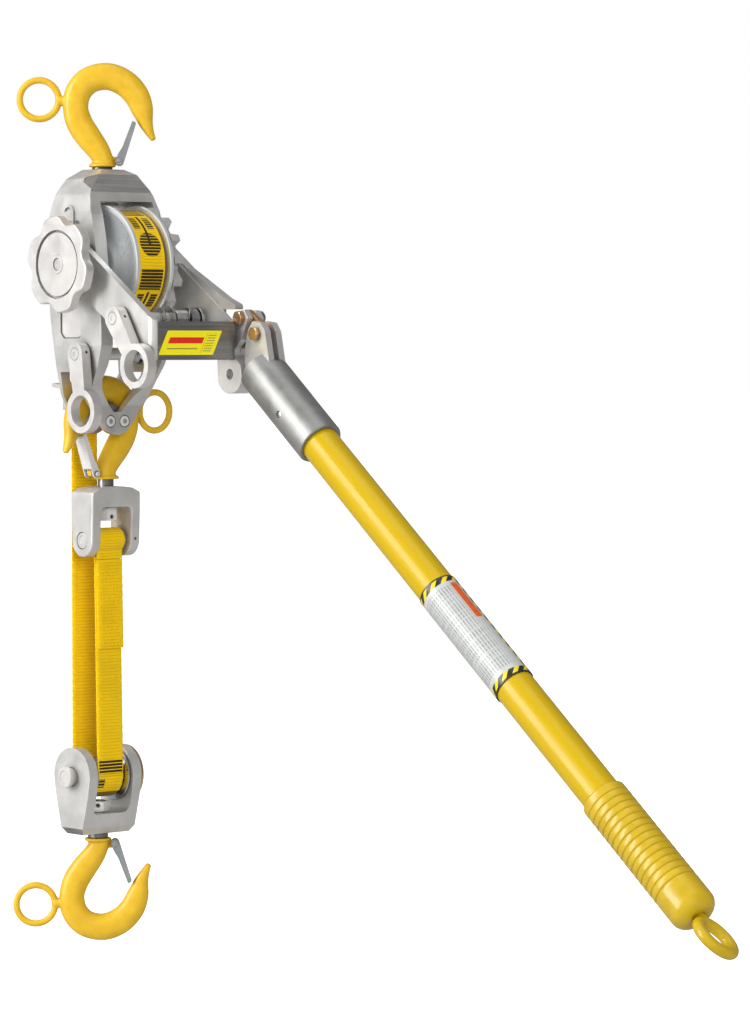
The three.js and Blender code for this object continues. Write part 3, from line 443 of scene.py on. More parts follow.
CHROMATE = plated_metal("yellow_chromate", rgb(0.66, 0.36, 0.20), rgb(0.74, 0.52, 0.24), 0.3)
PAINT = powder_coat()
FIBRE = glass_fibre()
VINYL = vinyl()
WEB = webbing("strap_webbing")
WEB_DRUM = webbing("strap_webbing_printed", drum_print)
WEB_SHEAVE = webbing("strap_webbing_bars", sheave_print)
STICKER = lever_sticker()
SLEEVE = sleeve_print()

# ---------------------------------------------------------------- solids


@contextmanager
def editing(mesh):
    """Opens a mesh for editing and writes it back."""
    edit = bmesh.new()
    edit.from_mesh(mesh)
    yield edit
    edit.to_mesh(mesh)
    edit.free()


def new_object(mesh):
    made = bpy.data.objects.new("solid", mesh)
    bpy.context.scene.collection.objects.link(made)
    return made


def loft(points, ring, closed=False):
    """A solid skinned over rows of ring points each; its last row meets its first, or both are capped."""
    count = len(points) // ring
    faces = []
    for i in range(count if closed else count - 1):
        j = (i + 1) % count
        for k in range(ring):
            m = (k + 1) % ring
            faces.append((i * ring + k, i * ring + m, j * ring + m, j * ring + k))
    if not closed:
        faces += [tuple(range(ring))[::-1], tuple(range((count - 1) * ring, count * ring))]
    mesh = bpy.data.meshes.new("solid")
    mesh.from_pydata([Vector(point) * MM for point in points], [], faces)
    with editing(mesh) as edit:
        bmesh.ops.remove_doubles(edit, verts=edit.verts, dist=1e-7)
        bmesh.ops.recalc_face_normals(edit, faces=edit.faces)
    return new_object(mesh)


def place(axis, u, v, w):
    """A point from its two coordinates across an axis and its height along it."""
    return {"x": (w, u, v), "y": (u, w, v), "z": (u, v, w)}[axis]


def prism(axis, outline, start, end):
    """An outline extruded along an axis between two coordinates."""
    return loft([place(axis, u, v, w) for w in (start, end) for u, v in outline], len(outline))


def box(x0, x1, y0, y1, z0, z1):
    return prism("x", [(y0, z0), (y1, z0), (y1, z1), (y0, z1)], x0, x1)


def polar(centre_at, radius, degrees):
    """The point at a radius and an angle from a centre."""
    angle = math.radians(degrees)
    return centre_at[0] + radius * math.cos(angle), centre_at[1] + radius * math.sin(angle)


def arc(u, v, radius, start, end, steps=16):
    """Points of an arc about a centre, its angles in degrees."""
    return [polar((u, v), radius, start + (end - start) * i / steps) for i in range(steps + 1)]


def circle(u, v, radius, sides=48):
    return arc(u, v, radius, 0, 360 - 360 / sides, sides - 1)


def rod(axis, centre_at, radius, start, end, sides=48):
    return prism(axis, circle(*centre_at, radius, sides), start, end)


def rounded(corners, radius=2.0, steps=4):
    """An outline with its corners rounded; a corner may carry its own radius as a third number."""
    points = []
    for i, corner in enumerate(corners):
        size = corner[2] if len(corner) > 2 else radius
        here = Vector(corner[:2])
        back = Vector(corners[i - 1][:2]) - here
        on = Vector(corners[(i + 1) % len(corners)][:2]) - here
        half = back.angle(on, math.pi) / 2
        if size <= 0 or half > math.radians(87):
            points.append(tuple(here))
            continue
        reach = min(size / math.tan(half), 0.47 * back.length, 0.47 * on.length)
        start, end = here + back.normalized() * reach, here + on.normalized() * reach
        for k in range(steps + 1):
            t = k / steps
            points.append(tuple(start * (1 - t) ** 2 + here * 2 * t * (1 - t) + end * t * t))
    return points


def sharp(points):
    """Points of an outline that rounded() leaves as they are."""
    return [(u, v, 0) for u, v in points]


def link_outline(first, first_r, second, second_r, steps=20):
    """A strip with round ends of two radii about two centres."""
    a, b = Vector(first), Vector(second)
    heading = math.degrees(math.atan2(*(b - a).yx))
    lean = math.degrees(math.asin((first_r - second_r) / (b - a).length))
    spread = 90 - lean
    return [
        *arc(*first, first_r, heading + spread, heading + 360 - spread, steps),
        *arc(*second, second_r, heading - spread, heading + spread, steps),
    ]


def turned(axis, centre_at, profile, sides=72):
    """A closed profile of (radius, height) turned about an axis."""
    points = []
    for u, v in circle(0, 0, 1, sides):
        for radius, height in profile:
            points.append(place(axis, centre_at[0] + radius * u, centre_at[1] + radius * v, height))
    return loft(points, len(profile), closed=True)


def chamfered_ring(axis, centre_at, inner, outer, low, high, chamfer, sides=72):
    """A turned ring with its outer corners chamfered."""
    return turned(axis, centre_at, [
        (inner, low), (outer - chamfer, low), (outer, low + chamfer),
        (outer, high - chamfer), (outer - chamfer, high), (inner, high),
    ], sides)


def bar_along(points, radius, sides=14, closed=False, squash=1.0):
    """A round bar along a path; radius may be a list, one for each point."""
    path = [Vector(point) for point in points]
    count = len(path)
    radii = radius if isinstance(radius, list) else [radius] * count
    rings = []
    side = None
    for i, here in enumerate(path):
        ahead = path[(i + 1) % count] if closed or i < count - 1 else here
        behind = path[i - 1] if closed or i > 0 else here
        along = (ahead - behind).normalized()
        if side is None:
            side = along.orthogonal().normalized()
        side = (side - along * side.dot(along)).normalized()
        up = along.cross(side)
        for k in range(sides):
            angle = 2 * math.pi * k / sides
            rings.append(here + radii[i] * (side * math.cos(angle) + up * (math.sin(angle) * squash)))
    return loft(rings, sides, closed)


def hex_solid(axis, centre_at, radius, dome):
    """A hexagonal solid with its corners turned off to a closed profile of (radius, height)."""
    heights = [height for _, height in dome]
    blank = prism(axis, circle(*centre_at, radius, 6), min(heights), max(heights))
    return common(blank, turned(axis, centre_at, dome))


def helix(axis, centre_at, radius, start, end, turns, per_turn):
    """Points of a coil about an axis."""
    steps = int(turns * per_turn)
    around = arc(*centre_at, radius, 0, 360 * turns, steps)
    return [place(axis, u, v, start + (end - start) * i / steps) for i, (u, v) in enumerate(around)]


def bake(made):
    """Applies an object's modifiers to its mesh."""
    graph = bpy.context.evaluated_depsgraph_get()
    mesh = bpy.data.meshes.new_from_object(made.evaluated_get(graph))
    made.modifiers.clear()
    made.data = mesh
    return made


def combine(operation, whole, tools):
    for tool in tools:
        modifier = whole.modifiers.new("combine", "BOOLEAN")
        modifier.operation = operation
        modifier.solver = "EXACT"
        modifier.object = tool
    bake(whole)
    for tool in tools:
        bpy.data.objects.remove(tool)
    return whole


def cut(whole, *tools):
    return combine("DIFFERENCE", whole, tools)


def join(whole, *others):
    return combine("UNION", whole, others)


def common(whole, *others):
    return combine("INTERSECT", whole, others)


def merge(whole, *others):
    """Puts several separate solids into one object."""
    with editing(whole.data) as edit:
        for made in others:
            edit.from_mesh(made.data)
    for made in others:
        bpy.data.objects.remove(made)
    return whole


def round_edges(made, width, segments=2, wanted=None, angle=30):
    """Rounds the sharp edges, or those that wanted(normal_a, normal_b, middle in mm) picks."""
    with editing(made.data) as edit:
        bmesh.ops.remove_doubles(edit, verts=edit.verts, dist=0.00002)
        bmesh.ops.dissolve_limit(edit, angle_limit=math.radians(0.6), verts=edit.verts, edges=edit.edges)
    with editing(made.data) as edit:
        edit.normal_update()
        picked = []
        for edge in edit.edges:
            if len(edge.link_faces) != 2 or edge.calc_face_angle(0) < math.radians(angle):
                continue
            first, second = edge.link_faces
            middle = (edge.verts[0].co + edge.verts[1].co) / 2 / MM
            if wanted is None or wanted(first.normal, second.normal, middle):
                picked.append(edge)
        bmesh.ops.bevel(edit, geom=picked, offset=width * MM, offset_type="OFFSET", segments=segments,
                        profile=0.5, affect="EDGES", clamp_overlap=True)
        bmesh.ops.recalc_face_normals(edit, faces=edit.faces)
    return made


def moved(made, matrix):
    """Moves a solid's mesh itself; the matrix is in metres."""
    made.data.transform(matrix)
    return made


def remeshed(made, voxel, smoothing):
    """Fuses what overlaps in an object and softens its inner corners."""
    modifier = made.modifiers.new("remesh", "REMESH")
    modifier.mode = "VOXEL"
    modifier.voxel_size = voxel * MM
    smooth = made.modifiers.new("smooth", "SMOOTH")
    smooth.factor = 0.5
    smooth.iterations = smoothing
    return bake(made)


def repaint(made, material, wanted):
    """Gives the faces that wanted(normal, middle in mm) picks another material."""
    mesh = made.data
    mesh.materials.append(material)
    for face in mesh.polygons:
        if wanted(face.normal, Vector(face.center) / MM):
            face.material_index = len(mesh.materials) - 1


def piece(name, made, material, body, stands_for=None, at=None, sharp=38.0, flat=True):
    """Finishes a solid as a piece: its shading, material, place, body and the node it stands for."""
    mesh = made.data
    if flat:
        made.modifiers.new("flat_faces", "WEIGHTED_NORMAL").keep_sharp = True
    mesh.polygons.foreach_set("use_smooth", [True] * len(mesh.polygons))
    mesh.set_sharp_from_angle(angle=math.radians(sharp))
    mesh.materials.clear()
    mesh.materials.append(material)
    made.name = name
    mesh.name = name
    if at is not None:
        made.matrix_world = at
    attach(made, body)
    if stands_for:
        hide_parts(stands_for)
    return made


def copy_of(made):
    return new_object(made.data.copy())


# ---------------------------------------------------------------- hooks

# The forged bar from neck to point: u, w, width in the hook's plane, thickness across it.
HOOK_BAR = [
    (1.4, 1.5, 15.6, 16), (1.5, 5, 16.2, 16.5), (-3.6, 14.5, 19.2, 17), (-11.8, 25.5, 21.6, 18),
    (-19, 37, 22, 18), (-22.2, 50, 21.2, 18), (-19.4, 63.5, 22, 18), (-9.8, 73, 22.4, 17.6),
    (4.9, 75.7, 22.6, 17.6), (18.6, 70.5, 22.4, 17.4), (28.4, 60.5, 21.2, 16.4), (33.4, 48.8, 18.6, 14.6),
    (36.3, 38, 12.6, 12), (39.4, 30, 8, 9), (42.6, 23.4, 4.6, 6),
]
HOOK_RING = (-52.6, 56.2)
LATCH_PIVOT = (14.4, 4.6)
LATCH_TIP = (26.3, 38)


def along_stations(stations, t):
    """The value at t from 0 to 1 on a Catmull-Rom curve through the stations."""
    place_on = t * (len(stations) - 1)
    low = min(int(place_on), len(stations) - 2)
    f = place_on - low
    p = [stations[min(max(low + k, 0), len(stations) - 1)] for k in (-1, 0, 1, 2)]
    return [
        0.5 * (2 * b + (c - a) * f + (2 * a - 5 * b + 4 * c - d) * f * f + (3 * b - a - 3 * c + d) * f ** 3)
        for a, b, c, d in zip(*p)
    ]


def hook_bar():
    """The bar's section is a slightly squared oval."""
    steps, sides = 96, 36
    stations = [along_stations(HOOK_BAR, i / steps) for i in range(steps + 1)]
    points = []
    for i, (u, w, width, thickness) in enumerate(stations):
        ahead, behind = stations[min(i + 1, steps)], stations[max(i - 1, 0)]
        along = Vector((ahead[0] - behind[0], ahead[1] - behind[1])).normalized()
        for k in range(sides):
            angle = 2 * math.pi * k / sides
            across = math.copysign(abs(math.cos(angle)) ** 0.86, math.cos(angle)) * width / 2
            depth = math.copysign(abs(math.sin(angle)) ** 0.86, math.sin(angle)) * thickness / 2
            points.append((u - along.y * across, depth, w + along.x * across))
    return loft(points, sides)


def hook_forging():
    collar = [(0.01, 0), (10.9, 0), (11.2, 0.6), (11.2, 1.7), (10.6, 2.3), (8.6, 3.4), (7.9, 6), (0.01, 6)]
    lug = prism("y", rounded([(4, 2.2), (17.8, 2.2), (17.8, 8.2), (4, 9)], 2.5), -2.7, 2.7)
    neck = bar_along([(-37.8, 0, 55.4), (-33, 0, 55.2), (-28, 0, 55)], [3.6, 4.2, 6.4], 24)
    tip = bar_along([(42.2, 0, 24.2), (42.9, 0, 22.9), (43.1, 0, 22.4)], [2.7, 2.2, 0.8], 18)
    eye = bar_along([(u, 0, w) for u, w in circle(*HOOK_RING, 16.2, 72)], 2.85, 20, closed=True)
    whole = merge(hook_bar(), eye, turned("z", (0, 0), collar), lug, neck, tip)
    remeshed(whole, 0.62, 5)
    seats = [rod("y", LATCH_PIVOT, 4.2, *sides) for sides in ((-9, -4.6), (4.6, 9))]
    return cut(whole, *seats, rod("y", LATCH_PIVOT, 1.9, -8, 8))


def hook_latch():
    """A bent-sheet channel with rounded ears about its pin and a stiffening return at its tip."""
    run = Vector(LATCH_TIP) - Vector(LATCH_PIVOT)
    tip = run.length
    ear = arc(0, 0, 3.6, 90, 270)
    side = [*ear, (6, -3.5), (tip - 1, -2.4), (tip, -1.6), (tip, 1.2), (12, 1.8), (6, 3.2)]
    blank = round_edges(prism("y", side, -6.2, 6.2), 0.8, 3, lambda a, b, m: m.z < 0 and m.x > 2)
    trough = rounded([(-8, -2.3), (tip - 3, -1.5), (tip + 2, -1.3), (tip + 2, 6), (-8, 6)], 0.6)
    cut(blank, prism("y", trough, -5.1, 5.1), box(-8, 5.4, -5.1, 5.1, -8, 8), rod("y", (0, 0), 1.9, -8, 8))
    round_edges(blank, 0.22, 2)
    lean = Matrix.Rotation(-math.atan2(run.y, run.x), 4, "Y")
    return moved(blank, Matrix.Translation((LATCH_PIVOT[0] * MM, 0, LATCH_PIVOT[1] * MM)) @ lean)


def latch_pin():
    head = [(0.01, 0), (2.0, 0), (2.6, 0.25), (2.6, 0.7), (1.6, 0.8), (0.01, 0.8)]
    ends = [turned("y", LATCH_PIVOT, [(r, side * (7.4 - h)) for r, h in head], 32) for side in (-1, 1)]
    return merge(rod("y", LATCH_PIVOT, 1.6, -6.9, 6.9, 24), *ends)


def latch_spring():
    """Two small coils on the pin, joined by a bow that bears on the latch."""
    coils = []
    for side in (-1, 1):
        run = helix("y", LATCH_PIVOT, 2.45, side * 3.2, side * 4.4, 2.5, 18)
        leg = [(x, side * 3.3, z) for x, z in ((19.4, 18.5), (17.4, 12), (16.2, 8))]
        coils.append(bar_along([*leg, *run], 0.42, 8))
    return merge(*coils)


def swivel_nut(radius, low, high, hole):
    """A hex nut with chamfered corners, drilled through a pair of flats for its locking pin."""
    waist = radius * 0.9
    dome = [(0.01, low), (waist, low), (radius, low + 0.9), (radius, high - 0.9), (waist, high), (0.01, high)]
    bore = rod("z", (0, 0), 6.9, low - 1, high + 1, 32)
    nut = cut(cut(hex_solid("z", (0, 0), radius, dome), bore), hole_rod(1.9, -radius, radius, low, hole))
    return round_edges(nut, 0.25, 2)


def hole_rod(radius, start, end, low, turn):
    """A rod through the nut's lower half; turn is its angle round the shank."""
    made = rod("x", (0, low + 3.4), radius, start, end, 28)
    return moved(made, Matrix.Rotation(math.radians(turn), 4, "Z"))


def locking_pin(radius, low, turn):
    """A rolled spring pin, a little shorter than the nut is wide."""
    reach = radius * 0.866 - 0.6
    ends = [hole_rod(1.0, end - 2, end + 2, low, turn) for end in (reach, -reach)]
    return cut(hole_rod(1.75, -reach, reach, low, turn), *ends)


def shank(length):
    """The bare steel shank below the collar, with a thread at its foot."""
    profile = [(0.01, 0.2), (6.7, 0.2), (6.7, -length + 12)]
    crest = -length + 12
    while crest > -length + 1.5:
        profile += [(6.55, crest - 0.25), (6.1, crest - 0.75), (6.55, crest - 1.25)]
        crest -= 1.5
    profile += [(6.0, -length), (0.01, -length)]
    return turned("z", (0, 0), profile, 40)


def hooks():
    forging = hook_forging()
    latch = hook_latch()
    pin = latch_pin()
    spring = latch_spring()
    rows = [
        ("top", TOP_HOOK, 28, (11, -26.5, -18.5, 90), ZINC),
        ("end", END_HOOK, 34, (9.6, -35, -23.8, 90), BRIGHT),
        ("bottom", BOTTOM_HOOK, 32, (9.6, -31.4, -22.4, 90), ZINC),
    ]
    for name, at, length, nut, latch_skin in rows:
        body = f"{name}_hook"
        piece(f"{name}_hook_forging", copy_of(forging), PAINT, body, f"{name}_hook", at, 60, False)
        piece(f"{name}_hook_shank", shank(length), STEEL, body, at=at)
        piece(f"{name}_latch_channel", copy_of(latch), latch_skin, f"{name}_latch", f"{name}_latch", at)
        piece(f"{name}_latch_rivet", copy_of(pin), ZINC, body, f"{name}_latch_pin", at)
        piece(f"{name}_latch_spring", copy_of(spring), MACHINED, f"{name}_latch", at=at)
        piece(f"{name}_hex_nut", swivel_nut(*nut), BRIGHT, body, f"{name}_swivel_nut", at)
        # The locking pin takes the darker aluminium, painting the shade of the nut's drilled hole.
        piece(f"{name}_nut_pin", locking_pin(nut[0], nut[1], nut[3]), CAST_SHADE, body, at=at)
    for made in (forging, latch, pin, spring):
        bpy.data.objects.remove(made)
    for name, body in (("top_thrust_washer", "frame"), ("bottom_thrust_washer", "lower_block")):
        low, high = span(name, "z")
        x, y, _ = centre(name)
        piece(name + "_plain", chamfered_ring("z", (x, y), 7, 8.6, low, high, 0.4), STEEL, body, name)


# ---------------------------------------------------------------- frame casting


def frame_casting():
    side = rounded([
        (-14, HEAD_TOP, 2), (-22, -71, 2), (-25.5, -86, 0.8), (-32, -105, 3), (-36.5, -125, 12),
        (-41, -160, 12), (-45, -198, 4), (-45, -214, 8), (-38.5, -230, 6), (-30, -243, 6), (-22.5, -256, 6),
        (-20, -264, 3), (-20, YOKE_FOOT, 1), (17, YOKE_FOOT, 1), (17, -246, 6), (19.5, -215, 8),
        (25, -185, 12), (26.2, -112, 12), (23, -97, 6), (19.5, -82, 6), (12, HEAD_TOP, 2),
    ], 3, 6)
    front = rounded([
        (-12, HEAD_TOP, 2.5), (-25.6, -74.5, 4), (-33.4, -88, 10), (LEFT_CHEEK[0], -102, 6),
        (LEFT_CHEEK[0], -214, 10), (-35, -232, 10), (-31, -256, 8), (-17, -277, 5),
        *sharp(arc(0, -272, 16.4, 215, 325, 16)), (17, -277, 5), (31.4, -256, 8), (35.4, -232, 10),
        (RIGHT_CHEEK[1], -214, 10), (RIGHT_CHEEK[1], -102, 6), (33.4, -88, 10), (25.6, -74.5, 4),
        (12, HEAD_TOP, 2.5),
    ], 3, 6)
    shell = common(prism("x", side, LEFT_CHEEK[0], RIGHT_CHEEK[1]), prism("y", front, -50, 30))

    def head_edge(a, b, middle):
        facing = min(a.y, b.y) < -0.5 and max(abs(a.x), abs(b.x)) > 0.35
        return facing and -222 < middle.z < -88

    round_edges(shell, 5.5, 6, head_edge, 25)
    for side in (-1, 1):
        facet = box(-30, 30, -30, 20, 0, 30)
        lean = Matrix.Rotation(math.radians(47 * side), 4, "Y") @ Matrix.Rotation(math.radians(6), 4, "X")
        moved(facet, Matrix.Translation((side * 0.0262, -0.024, -0.0786)) @ lean)
        cut(shell, common(facet, rod("z", (side * 26, -34), 25, -110, -50, 72)))
    round_edges(shell, 1.5, 3, lambda a, b, middle: middle.z < -205 or max(a.y, b.y) > 0.4, 28)
    window = rounded([
        (LEFT_CHEEK[1], -97, 5), (RIGHT_CHEEK[0], -97, 5), (RIGHT_CHEEK[0], -238, 6), (20.7, -250.4, 6),
        (4, -269.3, 3), (-4, -269.3, 3), (-20.7, -250.4, 6), (LEFT_CHEEK[1], -242, 4),
    ], 3, 6)
    panel = rounded([(-17.4, -208, 4), (6, -208, 4), (10.4, -203, 4), (10.4, -110, 5), (-17.4, -110, 5)])
    tools = [
        prism("y", window, -60, 40),
        rod("x", AXLE, DRUM_R + 3.5, LEFT_CHEEK[1], RIGHT_CHEEK[0], 96),
        rod("z", (0, 0), 13.5, -110, -82.5),
        box(-60, 60, -13, 13.4, -300, -236),
        prism("x", panel, -40, -34.3),
        rod("z", (0, 0), 7, -100, -60),
        rod("x", AXLE, SHAFT_R + GAP, -50, 50),
        rod("x", HOLD, 5.5, -50, 50),
    ]
    for at in YOKE_SCREWS:
        tools += [rod("y", at, 2.9, -30, -12), rod("y", at, 5.3, -30, -16.8)]
    cut(shell, *tools)
    rib = [(-9.4, -118), *arc(-2.2, -104, 7.2, 180, 20, 20), *arc(-2.2, -104, 5.4, 20, 180, 20), (-7.6, -118)]
    join(shell, prism("x", rib, -38.2, -36))
    return round_edges(shell, 0.7, 3, None, 34)


def socket_screw(at):
    """A socket-head screw with a chamfered face and a hexagonal recess."""
    head = [(0.01, -17.1), (4.6, -17.1), (4.6, -20.1), (4.2, -20.6), (0.01, -20.6)]
    body = merge(turned("y", at, head), rod("y", at, 2.6, -17.2, 3.4, 24))
    return round_edges(cut(body, rod("y", at, 2.3, -22, -18.2, 6)), 0.15, 2)


def anchor_bar():
    section = [*arc(-0.8, -276.4, 13.4, -38, 218, 48)]
    bar = prism("y", section, -12.7, 13.1)
    threads = [rod("y", at, 2.9, -30, 4, 24) for at in YOKE_SCREWS]
    return round_edges(cut(bar, *threads), 0.5, 2)


def strap_guide():
    """A bent sheet behind the rear fall of the strap, on two arms from the yoke."""
    sheet = [
        (29.4, -268), (29.4, -256), *arc(35.4, -256, 6, 180, 100, 10), (44, -248.6), (44, -245.4),
        *arc(35.6, -256, 9.6, 90, 180, 10), (26.2, -268),
    ]
    notch = rounded([(-16.4, -280), (16.4, -280), (16.4, -250), (-16.4, -250)], 3)
    arm = rounded([(17.3, -266), (17.3, -250), (27, -254), (29.4, -258), (29.4, -268)], 1)
    made = cut(prism("x", sheet, -20, 20), prism("y", notch, 20, 28.6))
    return round_edges(join(made, *[prism("x", arm, x - 1.8, x + 1.8) for x in (-18.2, 18.2)]), 0.5, 2)


def nameplate():
    plate = rounded([
        (-16.4, -205, 2), (-13.4, -207, 2), (5.6, -207, 3), (9.4, -203, 3), (9.4, -176, 1), (-16.4, -176, 1),
    ])
    return round_edges(prism("x", plate, -35.5, -34.6), 0.25, 2)


def frame_pieces():
    made = piece("frame_body_casting", frame_casting(), CAST, "frame", "frame_casting")
    repaint(made, BRUSHED, lambda normal, m: normal.y < -0.9 and m.z > -87)
    # Up- and side-facing facets on the head's front take the darker aluminium: painted shade.
    repaint(made, CAST_SHADE, lambda normal, m: (
        normal.z > 0.55 and 0.2 < abs(normal.x) < 0.95 and m.y < -8 and m.z > -92))
    piece("blank_nameplate", nameplate(), PALE, "frame", "frame_nameplate")
    piece("yoke_anchor_bar", anchor_bar(), STEEL, "frame", "anchor_bar")
    for side, at in zip(("left", "right"), YOKE_SCREWS):
        piece(f"yoke_screw_{side}", socket_screw(at), BRIGHT, "frame", f"anchor_screw_{side}")
    piece("strap_guide_sheet", strap_guide(), CAST, "frame", "strap_guide")


# ---------------------------------------------------------------- drum


def drum_spool():
    inner, face = SHAFT_R + GAP, -DRUM_RIM
    profile = [
        (inner, face + 0.4), (17, face + 0.2), (19, face + 0.8), (24, face + 3), (33, face + 3.1),
        (41, face + 2.2), (45.5, face + 0.5), (46.6, face), (49.2, face), (DRUM_R, face + 0.8),
        (DRUM_R, -DRUM_HALF - 0.8), (49.2, -DRUM_HALF), (CORE_R + 1, -DRUM_HALF), (CORE_R, -DRUM_HALF + 1),
        (CORE_R, DRUM_HALF - 1), (CORE_R + 1, DRUM_HALF), (49.2, DRUM_HALF), (DRUM_R, DRUM_HALF + 0.8),
        (DRUM_R, DRUM_RIM - 0.8), (49.2, DRUM_RIM), (inner, DRUM_RIM),
    ]
    return turned("x", AXLE, profile, 120)


def ratchet_wheel():
    teeth, root, tip = 16, 42, 50
    step = 360 / teeth
    tooth = ((root, 0, 1.6), (root, 0.28, 1.6), (tip, 0.66, 0.7), (tip, 0.94, 0.7))
    corners = [
        (*polar(AXLE, radius, (i + share) * step), size)
        for i in range(teeth)
        for radius, share, size in tooth
    ]
    wheel = cut(prism("x", rounded(corners, 1, 3), 20.3, 29.7), rod("x", AXLE, SHAFT_R + GAP, 0, 50),
                rod("x", AXLE, 30, 28.2, 32, 64))
    return round_edges(wheel, 0.6, 2)


def lobed(radius, lobes, phase, scallop, scallop_at, steps=288):
    """The outline about the axle of a disc with scallops cut between its lobes, the corners eased."""
    radii = []
    lobe = 360 / lobes
    for i in range(steps):
        offset = math.radians((i * 360 / steps - phase) % lobe - lobe / 2)
        depth = scallop ** 2 - (scallop_at * math.sin(offset)) ** 2
        inner = scallop_at * math.cos(offset) - math.sqrt(depth) if depth > 0 else radius
        radii.append(min(radius, inner))
    reach = range(-4, 5)
    eased = [sum(radii[(i + k) % steps] for k in reach) / len(reach) for i in range(steps)]
    return [polar(AXLE, r, 360 * i / steps) for i, r in enumerate(eased)]


def hand_knob():
    """A cast knob of six lobes with a sunk face, a groove round it and a raised centre boss."""
    x0, x1 = span("hand_knob", "x")
    knob = round_edges(prism("x", lobed(40, 6, 78, 12.5, 46.5), x0, x1), 1.3, 4, None, 50)
    groove = turned("x", AXLE, [(26.2, x0 - 1), (28.4, x0 - 1), (28.4, x0 + 3.4), (26.2, x0 + 3.4)], 96)
    cut(knob, rod("x", AXLE, 28, x0 - 1, x0 + 0.9, 96), groove, rod("x", AXLE, 32, x1 - 2, x1 + 1, 96))
    boss = [(0.01, x0 + 0.2), (7.4, x0 + 0.2), (8.2, x0 + 1.2), (8.6, x0 + 3), (0.01, x0 + 3)]
    join(knob, turned("x", AXLE, boss, 64))
    cut(knob, rod("x", AXLE, 5.3, x0 - 1, x0 + 1.6), rod("x", AXLE, SHAFT_R + GAP, x1 - 3, x1 + 8))
    return round_edges(knob, 0.35, 2, None, 40)


def ribbed_ring(axis_at, radius, half, thickness, start, end):
    """A ribbed strap round an axis along x; angles in degrees, radius to its inner face."""
    length = math.radians(end - start) * (radius + thickness)
    steps = int(length / RIB_PITCH * ROWS_PER_RIB)
    closed = end - start == 360
    rows = []
    for i in range(steps if closed else steps + 1):
        out = Vector((0, *polar((0, 0), 1, start + (end - start) * i / steps)))
        rows.append((Vector((0, *axis_at)) + out * radius, out, length * i / steps))
    return ribbed(rows, half, thickness, closed)


def ribbed(rows, half, thickness, closed=False):
    """A strap along rows of (inner face's middle, direction out of that face, length so far)."""
    across = 14
    points = []
    for middle, out, so_far in rows:
        rib = 0.4 * (1 - abs(math.sin(math.pi * so_far / RIB_PITCH)) ** 0.7)
        wander = 0.12 * math.sin(so_far * 0.9) + 0.08 * math.sin(so_far * 2.3 + 1)
        for face in (1, -1):
            for k in range(across + 1):
                share = (k / across * 2 - 1) * face
                edge = max(0.0, (abs(share) - 0.86) / 0.14)
                depth = (thickness / 2 - rib) * math.sqrt(max(0.0, 1 - 0.92 * edge * edge))
                point = middle + out * (thickness / 2 + depth * face)
                points.append((point.x + share * (half + wander * edge), point.y, point.z))
    return loft(points, 2 * (across + 1), closed)


def shaft_with_ends(centre_at, radius, x0, x1, dimple=0.45):
    """A shaft with chamfered ends and a shallow turned dimple in each."""
    inner = radius * dimple
    profile = [
        (0.01, x0 + 0.5), (inner, x0 + 0.5), (inner + 0.4, x0), (radius - 0.5, x0), (radius, x0 + 0.5),
        (radius, x1 - 0.5), (radius - 0.5, x1), (inner + 0.4, x1), (inner, x1 - 0.5), (0.01, x1 - 0.5),
    ]
    return turned("x", centre_at, profile, 56)


def shaft_piece(name, centre_at, radius, material, body, stands_for, dimple=0.45):
    """A shaft as long as the node it stands for."""
    x0, x1 = span(stands_for, "x")
    piece(name, shaft_with_ends(centre_at, radius, x0, x1, dimple), material, body, stands_for)


def drum_pieces():
    body = "drum"
    piece("drum_spool", drum_spool(), SPOOL, body, "drum", sharp=25)
    piece("ratchet_wheel_casting", ratchet_wheel(), PALE, body, "ratchet_wheel")
    piece("knob_casting", hand_knob(), PALE, body, "hand_knob")
    x0, x1 = span("drum_shaft", "x")
    stub = merge(shaft_with_ends(AXLE, 5, x0 + 0.9, x0 + 9), shaft_with_ends(AXLE, SHAFT_R, x0 + 6, x1))
    piece("drum_axle", stub, PALE, body, "drum_shaft")
    low, high = span("knob_spacer", "x")
    spacer = chamfered_ring("x", AXLE, SHAFT_R + GAP, 14, low, high, 0.6)
    piece("knob_spacer_ring", spacer, CAST, body, "knob_spacer")
    wrap = ribbed_ring(AXLE, CORE_R + GAP, WRAP_HALF, WRAP_R - CORE_R - GAP, 0, 360)
    piece("strap_on_drum", wrap, WEB_DRUM, body, "strap_drum_wrap", sharp=60, flat=False)


# ---------------------------------------------------------------- lever

BAR_FRONT = -124
BAR_BACK = -114.5
BAR_TOP = -194
BAR_BOTTOM = -225.5
BAR_ENDS = (-45, 43)


def lever_arm(x0, x1):
    side = [
        (BAR_FRONT, BAR_BOTTOM, 1), (BAR_FRONT, BAR_TOP, 3),
        *sharp(arc(*AXLE, 18.6, 124.2, -55.8, 28)),
        (-32.8, -174, 6), (-61, -192, 12), (-110, BAR_BOTTOM, 8),
    ]
    return prism("x", rounded(side, 2, 6), x0, x1)


